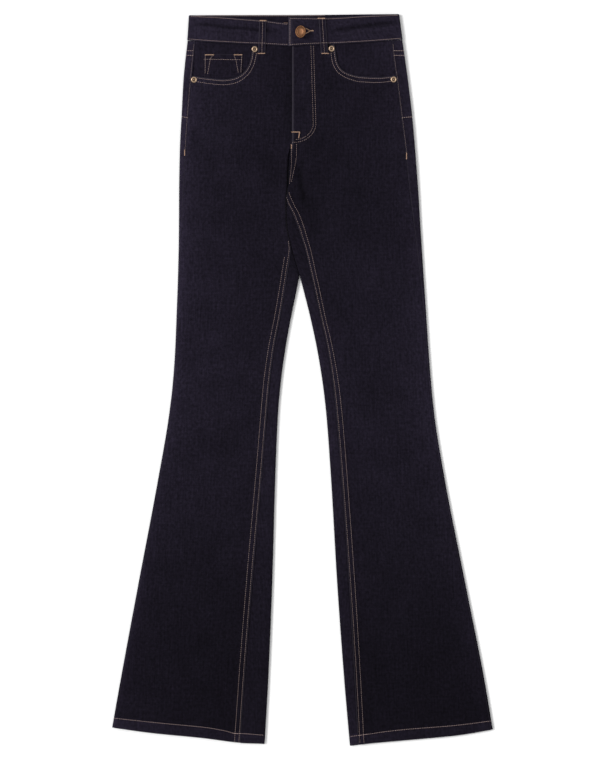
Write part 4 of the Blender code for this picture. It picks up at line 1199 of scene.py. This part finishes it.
def make_zip_teeth():
    """Two rows of interlocking teeth down the middle of the tape."""
    points = []
    faces = []
    width, length, height = TOOTH
    for i, drop in enumerate(np.arange(*TEETH_ENDS, TOOTH_PITCH)):
        side = TOOTH_SHIFT if i % 2 else -TOOTH_SHIFT
        low = float(zip_level(drop)) + 0.1
        corners = [(ZIP_X + side + a * width / 2, drop + b * length / 2, low + c * height)
                   for c in (0, 1) for b in (-1, 1) for a in (-1, 1)]
        base = len(points)
        points += corners
        faces += [tuple(base + k for k in face) for face in
                  ((0, 1, 3, 2), (4, 6, 7, 5), (0, 4, 5, 1), (2, 3, 7, 6), (0, 2, 6, 4), (1, 5, 7, 3))]
    return new_piece("zip_teeth", to_metres(points), np.array(faces), smooth=False)


# ---- turned metal

def turned(name, profile, sides):
    """A closed turned piece about Z from (radius, height, tone) points, top to bottom."""
    shape = bmesh.new()
    rings = []
    tones = []
    for radius, z, tone in profile:
        angles = [2 * math.pi * i / sides for i in range(sides if radius else 1)]
        rings.append([shape.verts.new((radius * MM * math.cos(a), radius * MM * math.sin(a), z * MM))
                      for a in angles])
        tones += [tone] * len(angles)
    for a, b in zip(rings, rings[1:]):
        for i in range(sides):
            j = (i + 1) % sides
            corners = [a[i % len(a)], a[j % len(a)], b[j % len(b)], b[i % len(b)]]
            shape.faces.new(list(dict.fromkeys(corners)))
    bmesh.ops.recalc_face_normals(shape, faces=shape.faces)
    mesh = bpy.data.meshes.new(name)
    shape.to_mesh(mesh)
    shape.free()
    mesh.shade_smooth()
    mesh.set_sharp_from_angle(angle=SHARP_ANGLE)
    piece = add_piece(name, mesh)
    paint(piece, "tone", tones)
    return piece


BUTTON_PROFILE = (
    (0.0, 1.35, 0.9), (2.0, 1.33, 0.9), (4.2, 1.2, 0.85), (5.0, 1.02, 0.6), (5.3, 1.0, 0.45),
    (5.6, 1.1, 0.7), (5.9, 1.35, 1.0), (6.3, 1.4, 1.0), (6.6, 1.2, 0.6), (6.9, 1.15, 0.5),
    (7.3, 1.5, 0.9), (7.9, 1.95, 1.15), (8.5, 2.05, 1.25), (8.95, 1.8, 1.2), (9.2, 1.3, 1.0),
    (9.1, 0.8, 0.7), (8.7, 0.4, 0.5), (7.6, 0.1, 0.5), (3.0, -0.1, 0.4), (2.5, -0.4, 0.4),
)
RIVET_PROFILE = (
    (0.0, 1.05, 0.55), (0.5, 1.03, 0.55), (0.95, 0.85, 0.4), (1.25, 0.5, 0.2), (1.6, 0.38, 0.14),
    (1.95, 0.5, 0.2), (2.3, 0.95, 0.6), (2.7, 1.32, 1.0), (3.2, 1.45, 1.15), (3.8, 1.32, 1.1),
    (4.3, 0.95, 1.0), (4.6, 0.45, 0.8), (4.6, 0.0, 0.6), (0.0, 0.0, 0.5),
)
TACK_PIECES = ("bar_tacks", "buttonhole_thread")
RIVETS = ("rivet_right_inner", "rivet_right_outer", "rivet_left_inner", "rivet_left_outer")


def make_button():
    """A dished button with a raised rim and a ring of fine beads, tilted on its neck."""
    centre_z = BAND_OVER + GAP + BUTTON_RADIUS * math.sin(BUTTON_TILT) + BUTTON_CLEAR
    length = (centre_z - BAND_FRONT - GAP) / math.cos(BUTTON_TILT)
    neck = ((NECK_RADIUS, -length, 0.4), (0.0, -length, 0.4))
    head = turned("copper_button", BUTTON_PROFILE + neck, 72)
    shape = bmesh.new()
    shape.from_mesh(head.data)
    tone = shape.verts.layers.float.get("tone")
    for i in range(BEADS):
        angle = 2 * math.pi * i / BEADS
        bead = bmesh.ops.create_uvsphere(shape, u_segments=8, v_segments=6, radius=BEAD_RADIUS * MM)
        place = Vector((BEAD_RING * math.cos(angle), BEAD_RING * math.sin(angle), BEAD_HEIGHT)) * MM
        bmesh.ops.translate(shape, verts=bead["verts"], vec=place)
        for v in bead["verts"]:
            v[tone] = 1.1
            for face in v.link_faces:
                face.smooth = True
    shape.to_mesh(head.data)
    shape.free()
    head.rotation_euler = (0.0, -BUTTON_TILT, 0.0)
    low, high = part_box("button")
    x = (low.x + high.x) / 2 + BUTTON_SHIFT[0] * MM
    y = (LENGTH / 2 - BUTTON_DROP + BUTTON_SHIFT[1]) * MM
    head.location = (x, y, centre_z * MM)
    return head


def make_rivet(node):
    low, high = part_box(node)
    piece = turned("brass_" + node, RIVET_PROFILE, 40)
    piece.location = ((low.x + high.x) / 2, (low.y + high.y) / 2, low.z + 0.25 * MM)
    return piece


# ---- threads

def trees():
    """What the threads lie on: every shell of cloth, for rays from above and below."""
    points, faces = joined(CLOTH)
    return BVHTree.FromPolygons(points.tolist(), faces.tolist())


def lay(tree, path, below=False):
    """Points and normals of the cloth's surface over a path of (x, drop), in millimetres."""
    way = -1.0 if below else 1.0
    found = []
    normals = []
    for x, drop in path:
        origin = Vector((x * MM, (LENGTH / 2 - drop) * MM, way * 0.05))
        place, normal, _, _ = tree.ray_cast(origin, Vector((0.0, 0.0, -way)))
        if place is None:
            place, normal, _, _ = tree.find_nearest(Vector((origin.x, origin.y, 0.004)))
        found.append((x, drop, place.z / MM))
        normal = normal if normal.z * way > 0 else -normal
        normals.append((normal.x, -normal.y, normal.z))
    return np.array(found), np.array(normals)


def evenly(path, pitch):
    """A path's points spaced anew, a few to each stitch, and its whole number of stitches."""
    path = np.array(path, float)
    count = max(int(round(lengths(path)[-1] / pitch)), 1)
    return along(path, np.linspace(0.0, 1.0, count * STITCH_STEPS + 1)), count


THREAD_SIDES = 6
# A stitch along its length: share of the pitch, height over the cloth, share of the thread's width.
STITCH_SHARES, STITCH_HEIGHTS, STITCH_WIDTHS = np.array((
    (0.12, -0.2, 0.5), (0.22, 0.06, 0.95), (0.5, 0.15, 1.08), (0.78, 0.06, 0.95), (0.88, -0.2, 0.5))).T


def thread_mesh(centres, across, up, radius):
    """Small closed tubes, one for each stitch, from centres of shape (stitches, rings, 3)."""
    count, rings, _ = centres.shape
    angles = 2 * math.pi * np.arange(THREAD_SIDES) / THREAD_SIDES
    ring = (np.cos(angles)[None, None, :, None] * across[:, :, None, :]
            + 0.85 * np.sin(angles)[None, None, :, None] * up[:, :, None, :])
    points = centres[:, :, None, :] + ring * STITCH_WIDTHS[None, :, None, None] * radius
    size = rings * THREAD_SIDES
    faces = []
    for r in range(rings - 1):
        for k in range(THREAD_SIDES):
            a = r * THREAD_SIDES + k
            b = r * THREAD_SIDES + (k + 1) % THREAD_SIDES
            faces.append((a, b, b + THREAD_SIDES, a + THREAD_SIDES))
    last = (rings - 1) * THREAD_SIDES
    for k in (0, 2):
        cap = np.array((0, k + 1, k + 2, (k + 3) % THREAD_SIDES))
        faces += [cap[::-1], cap + last]
    faces = np.array(faces)
    all_faces = (faces[None, :, :] + (np.arange(count) * size)[:, None, None]).reshape(-1, 4)
    return points.reshape(-1, 3), all_faces


def stitch_row(tree, path, pitch=STITCH, radius=THREAD, below=False, lift=0.0):
    """A row of topstitches along a path of (x, drop)."""
    spots, count = evenly(path, pitch)
    places, normals = lay(tree, spots, below)
    at = (np.arange(count)[:, None] + STITCH_SHARES) * STITCH_STEPS
    index = np.arange(len(places))
    centre = np.stack([np.interp(at, index, column) for column in places.T], axis=-1)
    up = unit(np.stack([np.interp(at, index, column) for column in normals.T], axis=-1))
    step = unit(centre[:, -1:] - centre[:, :1])
    across = unit(np.cross(np.broadcast_to(step, up.shape), up))
    centre = centre + up * (STITCH_HEIGHTS * radius / THREAD + lift)[:, None]
    return thread_mesh(centre, across, up, radius)


def bar_tack(tree, x, drop, length, angle, width=1.9, below=False):
    """A dense bar of threads side by side; angle 0 runs across the jeans."""
    turn = math.radians(angle)
    along_bar = np.array((math.cos(turn), math.sin(turn)))
    half = np.array((-along_bar[1], along_bar[0])) * width / 2
    parts = []
    for k, s in enumerate(np.arange(-length / 2, length / 2 + 0.01, TACK_PITCH)):
        middle = np.array((x, drop)) + along_bar * s
        lean = along_bar * (TACK_LEAN if k % 2 else -TACK_LEAN)
        ends = np.array([middle - half - lean, middle + half + lean])
        parts.append(stitch_row(tree, ends, width, TACK_RADIUS, below, TACK_LIFT))
    return joined(parts)


def joined(parts):
    points = np.concatenate([p for p, _ in parts])
    shifts = np.cumsum([0] + [len(p) for p, _ in parts[:-1]])
    faces = np.concatenate([f + s for (_, f), s in zip(parts, shifts)])
    return points, faces


def thread_piece(name, parts):
    points, faces = joined(parts)
    placed = to_metres(points)
    return new_piece(name, placed, outward(placed, faces))


def down_leg(leg, name, start):
    """A row beside the inseam, from a drop to just above the hem."""
    end = float(HEM_LINE[leg](0.87)) - 1.2
    drop = np.linspace(start, end, 240)
    return np.stack([lines(leg, drop)[2] - WAY[leg] * FELL_ROW[leg + "_" + name](drop), drop], axis=1)


def beside_side(leg, end):
    """A row beside the side seam, from the waistband down."""
    drop = np.linspace(45.0, end, 60)
    return np.stack([lines(leg, drop)[1] - WAY[leg] * 2.0, drop], axis=1)


def side_strip(leg, place, drop, fall=0.0):
    """A row over the strip of back cloth beside the side seam."""
    outer, side, _, _ = lines(leg, place)
    return (side - WAY[leg] * 0.6, drop), (outer + WAY[leg] * 0.5, drop - fall)


def band_row(face, edge, start, end, shift):
    """A row along an edge of one face of the waistband."""
    x = np.linspace(start, end, 90)
    return np.stack([x, band_curve(edge, *BAND_FACES[face])(x) + shift], axis=1)


def mouth_row(leg, name, skip_start, skip_end):
    share = np.linspace(0.0, 1.0, len(MOUTH_LINE[leg]))
    path = inset_path(MOUTH_LINE[leg], WAY[leg] * MOUTH_ROW[name](share)[:, None])
    return along(path, np.linspace(skip_start, 1.0 - skip_end, 80))


def hem_row(leg, start=0.012, end=0.988):
    across = np.linspace(start, end, 120)
    outer, _, _, inner = lines(leg, 1074.0)
    x = mix(outer, inner, across)
    return np.stack([x, HEM_LINE[leg](across) - HEM_ROW[leg](across)], axis=1)


def back_under(leg, name, shift):
    """A row along a seam across the underside of the back."""
    place = np.linspace(1.5, 4.55, 60)
    drop = BACK_SEAM[name](place) + shift
    outer, _, _, inner = lines(leg, drop)
    return np.stack([mix(outer, inner, (place - 1.4) / 3.2), drop], axis=1)


def beside_pocket(leg, row):
    """The parts of a row across the underside that the back pocket leaves free."""
    from_pocket = row[:, 0] - BACK_POCKET_X[leg]
    reach = BACK_POCKET[0][0] + 0.6
    parts = (row[from_pocket < -reach], row[from_pocket > reach])
    return [part for part in parts if len(part) > 1]


def pocket_outline(leg, inset):
    """A row inside the sides and the pointed lower edge of a back pocket."""
    rise = (0.0, 0.0, 0.69 * inset, 1.07 * inset)
    left = [(min(inset - half, 0.0), down - up) for (half, down), up in zip(BACK_POCKET, rise)]
    right = [(-x, down) for x, down in reversed(left[:-1])]
    return [(BACK_POCKET_X[leg] + x, BACK_POCKET_TOP + down) for x, down in left + right]


# Where the hem's row begins and ends over itself, as shares across the leg.
HEM_LAP = {"right": (0.785, 0.845), "left": (0.872, 0.932)}
# Starts of the inseam's outer and inner row, and end of the row beside the side seam.
ROW_ENDS = {"right": (364.0, 340.0, 204.0), "left": (267.0, 274.0, 210.0)}
COIN_ROWS = (
    ((-148.6, 67.8), (-90.6, 68.6)),
    ((-145.6, 61.0), (-146.0, 89.0)),
    ((-133.5, 61.5), (-138.0, 66.5), (-142.4, 90.0)),
    ((-90.9, 61.0), (-92.4, 88.0)),
    ((-102.4, 61.8), (-99.4, 70.4), (-96.4, 88.0)),
)
# The two rows that run on down from the fly to the crotch.
CROTCH_ROWS = (
    ((-16.4, 194.5), (-16.5, 208.0), (-16.6, 223.0), (-17.4, 236.0), (-18.8, 248.0), (-19.6, 255.0)),
    ((-9.0, 194.5), (-9.0, 210.0), (-10.2, 221.0), (-12.2, 231.0), (-14.4, 241.0), (-16.6, 252.0)),
)
# Bar tacks: middle, length and angle. They end belt loops, pockets, the fly and the side rows.
TACKS = (
    (-58.6, 10.0, 10.6, 0.0),
    (-61.5, 59.2, 10.6, 0.0),
    (28.2, 6.8, 11.0, 0.0),
    (34.2, 59.2, 11.0, 0.0),
    (-139.5, 61.2, 13.0, 0.0),
    (-96.6, 61.2, 12.0, 0.0),
    (-10.4, 177.0, 12.0, 0.0),
    (-5.0, 181.6, 9.0, 100.0),
    (-16.6, 198.5, 6.0, 90.0),
    (-25.0, 13.4, 6.0, 5.0, 1.0),
    (-176.7, 208.0, 8.5, 90.0),
    (156.0, 213.0, 9.5, 90.0),
)


def make_threads():
    tree = trees()
    rows = {"front": [], "inseams": [], "under": []}

    def sew(group, path, pitch=STITCH, radius=THREAD):
        rows[group].append(stitch_row(tree, path, pitch, radius, group == "under"))

    for leg in WAY:
        outer_start, inner_start, side_end = ROW_ENDS[leg]
        sew("inseams", down_leg(leg, "outer", outer_start), radius=0.18)
        sew("inseams", down_leg(leg, "inner", inner_start), radius=0.17)
        sew("front", mouth_row(leg, "near", 0.06, 0.05))
        sew("front", mouth_row(leg, "far", 0.085, 0.045))
        sew("front", beside_side(leg, side_end), radius=0.1)
        sew("front", hem_row(leg), 2.7, 0.26)
        sew("front", hem_row(leg, *HEM_LAP[leg]), 2.2, 0.33)
        sew("under", hem_row(leg), 2.7, 0.3)
        for shift in (-2.4, -9.4):
            sew("front", side_strip(leg, 64.0, 64.5 + shift), radius=0.3)
            sew("under", back_under(leg, "yoke", shift))
        drop = float(BACK_SEAM["contour"](0.0)) - 2.2
        sew("front", side_strip(leg, drop, drop, 1.6), radius=0.3)
        for part in beside_pocket(leg, back_under(leg, "contour", -2.2)):
            sew("under", part)
        for inset in (2.2, 8.4):
            sew("under", pocket_outline(leg, inset))
        sew("under", [(BACK_POCKET_X[leg] + side, BACK_POCKET_TOP + 11.0) for side in (-64.0, 64.0)])
    drop = np.linspace(46.0, 256.0, 90)
    for offset in (2.0, 7.6):
        sew("under", np.stack([MIDDLE["seat"](drop) + offset, drop], axis=1))
    sew("front", FLY_OUTER, radius=0.17)
    sew("front", FLY_INNER[:-2], radius=0.16)
    for row in CROTCH_ROWS:
        sew("front", smooth_path(row, 30), radius=0.14)
    for row in COIN_ROWS:
        sew("front", row, 2.6)
    right = lines("right", 40.0)[0]
    left = lines("left", 39.0)[0]
    sew("front", band_row("right", "lower", right + 2.0, BAND_END - 1.2, -2.2))
    sew("front", band_row("left", "lower", BAND_END + 1.4, left - 2.0, -2.2))
    sew("front", band_row("right", "upper", -168.0, BAND_END - 1.5, 1.9))
    sew("front", band_row("left", "upper", BAND_END + 2.0, 143.0, 1.9))
    sew("front", ((BAND_END + 2.2, 8.5), (BAND_END + 2.2, 45.0)))
    sew("front", band_row("back", "upper", -160.0, 34.0, 1.2), radius=0.32)
    sew("under", band_row("back", "lower", right + 6.0, left - 8.0, -2.2))
    sew("under", band_row("back", "upper", right + 6.0, left - 8.0, 1.9))
    for _, x_upper, x_lower, upper, lower in FRONT_LOOPS:
        sew("front", ((x_upper, upper + 1.5), (x_lower, lower - 1.0)), 2.6, 0.2)
    tacks = [bar_tack(tree, *row) for row in TACKS]
    for _, x in BACK_LOOPS:
        for side in (-1.3, 1.3):
            row = ((x + side, BACK_LOOP_ENDS[0] + 1.5), (x + side, BACK_LOOP_ENDS[1] - 1.0))
            sew("under", row, 2.6)
        for drop in (5.0, 55.5):
            tacks.append(bar_tack(tree, x, drop, LOOP_WIDTH, 0.0, below=True))
    pieces = [thread_piece("topstitch_" + group, parts) for group, parts in rows.items()]
    return pieces + [thread_piece("bar_tacks", tacks), make_buttonhole(tree)]


def make_buttonhole(tree):
    """Threads bound round the keyhole from the button's neck to its closing bar."""
    parts = []
    lips = (((4.6, 21.6), (11.2, 25.2)), ((4.6, 29.6), (11.2, 26.0)))
    for (ax, ay), (bx, by) in lips:
        length = math.hypot(bx - ax, by - ay)
        angle = math.degrees(math.atan2(by - ay, bx - ax))
        parts.append(bar_tack(tree, (ax + bx) / 2, (ay + by) / 2, length, angle, 1.9))
    parts.append(bar_tack(tree, 13.8, 25.3, 5.4, 0.0, 2.6))
    return thread_piece("buttonhole_thread", parts)


# ---- materials

class Nodes:
    """A material's node tree, with short names for the steps that the finishes share."""

    def __init__(self, name):
        self.material = bpy.data.materials.new(name)
        self.material.use_nodes = True
        self.tree = self.material.node_tree
        self.shader = self.tree.nodes["Principled BSDF"]

    def put(self, socket, value):
        if isinstance(value, bpy.types.NodeSocket):
            self.tree.links.new(value, socket)
        else:
            socket.default_value = value

    def add(self, kind, output, inputs, **settings):
        """A node with its settings and inputs; gives one of its outputs."""
        node = self.tree.nodes.new("ShaderNode" + kind)
        for name, value in settings.items():
            setattr(node, name, value)
        for name, value in inputs.items():
            self.put(node.inputs[name], value)
        return node.outputs[output]

    def maths(self, operation, a, b=0.0, c=0.0):
        return self.add("Math", 0, {0: a, 1: b, 2: c}, operation=operation)

    def vector(self, operation, a, b):
        output = "Value" if operation == "DOT_PRODUCT" else "Vector"
        return self.add("VectorMath", output, {0: a, 1: b}, operation=operation)

    def scaled(self, vector, factor):
        return self.add("VectorMath", "Vector", {0: vector, "Scale": factor}, operation="SCALE")

    def read(self, name, output="Fac"):
        """A number or a vector that was painted on the piece."""
        return self.add("Attribute", output, {}, attribute_name=name)

    def place(self):
        return self.add("TexCoord", "Object", {})

    def noise(self, vector, scale, detail=2.0, roughness=0.5):
        """Noise over a vector; a scale of three numbers stretches it."""
        if isinstance(scale, tuple):
            vector = self.vector("MULTIPLY", vector, scale)
            scale = 1.0
        inputs = {"Vector": vector, "Scale": scale, "Detail": detail, "Roughness": roughness}
        return self.add("TexNoise", "Fac", inputs)

    def centred(self, value, amount):
        """A noise's value as a factor about 1."""
        return self.maths("MULTIPLY_ADD", value, 2.0 * amount, 1.0 - amount)

    def blend(self, share, a, b):
        return self.add("Mix", "Result", {"Factor": share, "A": a, "B": b}, data_type="RGBA")

    def bump(self, height, strength, distance):
        inputs = {"Height": height, "Strength": strength, "Distance": distance}
        self.put(self.shader.inputs["Normal"], self.add("Bump", "Normal", inputs))

    def settle(self, **values):
        """Sets the shader's inputs, each to a number or to a node's output."""
        for name, value in values.items():
            self.put(self.shader.inputs[name.replace("_", " ")], value)
        return self.material


DENIM = (0.0082, 0.0065, 0.0120)
WORN = (0.085, 0.075, 0.095, 1.0)
TWIST = (0.18, 0.11, 0.08, 1.0)
TAPE = (0.012, 0.012, 0.018)
RIB_PITCH = 0.85       # from one rib of the twill to the next


def denim_material():
    """Dark right-hand twill: uneven warp and weft, and diagonal ribs that catch the light."""
    n = Nodes("denim")
    weave = n.read("weave", "Vector")
    warp = n.noise(weave, (0.44, 0.024, 1.0), 2.0, 0.6)
    weft = n.noise(weave, (0.04, 0.4, 1.0), 2.0, 0.6)
    mottle = n.noise(weave, 0.022)
    grain = n.noise(weave, (0.28, 0.2, 1.0), 2.0, 0.6)
    speck = n.noise(weave, 1.6, 2.0, 0.7)
    rib_way = n.vector("DOT_PRODUCT", weave, (0.9, 0.52, 0.0))
    wobble = n.maths("MULTIPLY", n.noise(weave, 0.6, 1.0), 1.6)
    rib = n.maths("SINE", n.maths("MULTIPLY_ADD", rib_way, 2 * math.pi / RIB_PITCH, wobble))
    rib = n.maths("MULTIPLY_ADD", rib, 0.5, 0.5)
    # The painted tone carries the dye, and also painted light and shade on folds, creases and the
    # crevice.
    factor = n.read("tone")
    amounts = ((warp, 0.5), (weft, 0.3), (mottle, 0.3), (grain, 0.85), (rib, 0.3), (speck, 0.3))
    for value, amount in amounts:
        factor = n.maths("MULTIPLY", factor, n.centred(value, amount))
    # Wear lightens worn edges; at the pocket mouths and the band's lapping end it also stands for a
    # painted highlight.
    worn = n.maths("MULTIPLY", n.read("wear"), n.centred(n.noise(weave, 0.9), 0.6))
    colour = n.blend(n.maths("MINIMUM", worn, 0.8), n.scaled(DENIM, factor), WORN)
    height = n.maths("MULTIPLY_ADD", warp, 0.5, n.maths("MULTIPLY", speck, 0.4))
    n.bump(n.maths("MULTIPLY_ADD", rib, 0.5, height), 0.35, 0.0002)
    return n.settle(Base_Color=colour, Roughness=n.maths("MULTIPLY_ADD", speck, 0.2, 0.72),
                    Specular_IOR_Level=0.03, Sheen_Weight=0.02, Sheen_Roughness=0.5)


def thread_material(name, dull, bright):
    """Wrapped thread, each stitch a little lighter or darker, with the dark of its twist."""
    n = Nodes(name)
    place = n.place()
    ply = n.noise(place, (2600.0, 2600.0, 2600.0), 1.0)
    colour = n.blend(n.noise(place, 420.0, 1.0), dull, bright)
    colour = n.blend(n.maths("MULTIPLY", ply, 0.35), colour, TWIST)
    n.bump(ply, 0.4, 0.0001)
    return n.settle(Base_Color=colour, Roughness=0.6, Specular_IOR_Level=0.3)


def metal_material(name, bright, dark, roughness):
    """A rubbed finish, dark in its recesses and finely scratched."""
    n = Nodes(name)
    place = n.place()
    scratch = n.noise(place, (900.0, 5200.0, 900.0))
    share = n.maths("MULTIPLY", n.read("tone"), n.centred(n.noise(place, 260.0, 3.0), 0.3))
    colour = n.blend(n.maths("MINIMUM", share, 1.0), dark, bright)
    n.bump(scratch, 0.15, 0.00005)
    return n.settle(Base_Color=colour, Metallic=1.0,
                    Roughness=n.maths("MULTIPLY_ADD", scratch, 0.2, roughness - 0.1))


def tape_material():
    n = Nodes("zip_tape")
    weave = n.read("weave", "Vector")
    rows = n.maths("SINE", n.vector("DOT_PRODUCT", weave, (0.0, 2 * math.pi / 0.9, 0.0)))
    cords = n.maths("SINE", n.vector("DOT_PRODUCT", weave, (2 * math.pi / 1.1, 0.0, 0.0)))
    n.bump(n.maths("ADD", rows, cords), 0.4, 0.0002)
    colour = n.scaled(TAPE, n.centred(n.noise(weave, 0.8), 0.3))
    return n.settle(Base_Color=colour, Roughness=0.85, Specular_IOR_Level=0.2)


def floor_material():
    n = Nodes("floor")
    colour = n.blend(n.noise(n.place(), 1.5), (0.93, 0.93, 0.93, 1.0), (0.95, 0.95, 0.95, 1.0))
    return n.settle(Base_Color=colour, Roughness=0.9, Specular_IOR_Level=0.0)


def dress(piece, material):
    piece.data.materials.clear()
    piece.data.materials.append(material)


# ---- stage, light and camera

CAMERA = (-0.00375, -0.0039, 8.0)
FRAME_HEIGHT = 1.1475  # what the long side of the picture spans at the floor, in metres
SUN_WAY = (-1.0, 0.2, 1.1)        # towards the light


def make_stage():
    bpy.ops.mesh.primitive_plane_add(size=12.0, location=(0.0, 0.0, -0.0006))
    floor = bpy.context.object
    floor.name = "floor"
    dress(floor, floor_material())
    world = bpy.data.worlds.new("soft_light")
    world.use_nodes = True
    sky = world.node_tree.nodes["Background"].inputs
    sky["Color"].default_value = (1.0, 1.0, 1.0, 1.0)
    sky["Strength"].default_value = 0.72
    bpy.context.scene.world = world
    lamp = bpy.data.lights.new("window", "SUN")
    lamp.energy = 2.2
    lamp.angle = math.radians(24.0)
    window = add_piece("window", lamp)
    window.rotation_euler = Vector(SUN_WAY).to_track_quat("Z", "Y").to_euler()


def make_camera():
    lens = bpy.data.cameras.new("camera")
    lens.sensor_width = 36.0
    lens.lens = lens.sensor_width * CAMERA[2] / FRAME_HEIGHT
    camera = add_piece("camera", lens)
    camera.location = CAMERA
    bpy.context.scene.camera = camera
    bpy.context.scene.view_settings.view_transform = "Standard"


# ---- putting it together

def wear(piece, material, slot, node=None):
    """A piece in its finish rides with the jeans, and may stand for its CAD node."""
    dress(piece, material)
    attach(piece, "root")
    if node:
        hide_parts(node)


def wear_sheet(piece, material, slot, node):
    """A shell of cloth, worn like any other piece."""
    wear(piece, material, slot, node)


def main():
    denim = denim_material()
    thread = thread_material("thread", (0.29, 0.21, 0.2, 1.0), (0.46, 0.34, 0.31, 1.0))
    tack_thread = thread_material("tack_thread", (0.34, 0.2, 0.13, 1.0), (0.54, 0.35, 0.24, 1.0))
    copper = metal_material("copper", (0.16, 0.076, 0.038, 1.0), (0.03, 0.014, 0.008, 1.0), 0.44)
    brass = metal_material("brass", (0.41, 0.29, 0.2, 1.0), (0.02, 0.012, 0.009, 1.0), 0.38)
    sheets = []
    for leg in WAY:
        yoke, hip, back = make_back(leg)
        sheets += [(yoke, "yoke_" + leg, "waistband"), (hip, "hip_" + leg, "floor"),
                   (back, "back_" + leg, "floor"),
                   (make_front(leg), "front_" + leg, back.name),
                   (make_facing(leg), "facing_" + leg, yoke.name),
                   (make_back_pocket(leg), "back_pocket_" + leg, "floor")]
    sheets += [(make_coin_pocket(), "coin_pocket", "denim_facing_right"),
               (make_waistband(), "waistband", "loop_back_centre")]
    sheets += [(make_front_loop(*row), row[0], "denim_waistband") for row in FRONT_LOOPS]
    sheets += [(make_back_loop(*row), row[0], "floor") for row in BACK_LOOPS]
    for piece, node, support in sheets:
        wear_sheet(piece, denim, "denim", node)
    wear_sheet(make_zip_tape(), tape_material(), "zip_tape", "zip_tape")
    teeth = make_zip_teeth()
    wear(make_button(), copper, "copper", "button")
    for node in RIVETS:
        wear(make_rivet(node), brass, "brass", node)
    wear(teeth, brass, "brass")
    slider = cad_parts["zip_slider"]
    dress(slider, brass)
    for piece in (teeth, slider):
        paint(piece, "tone", np.full(len(piece.data.vertices), ZIP_TONE))
    for piece in make_threads():
        wear(piece, tack_thread if piece.name in TACK_PIECES else thread, "denim")
    make_stage()
    make_camera()


main()
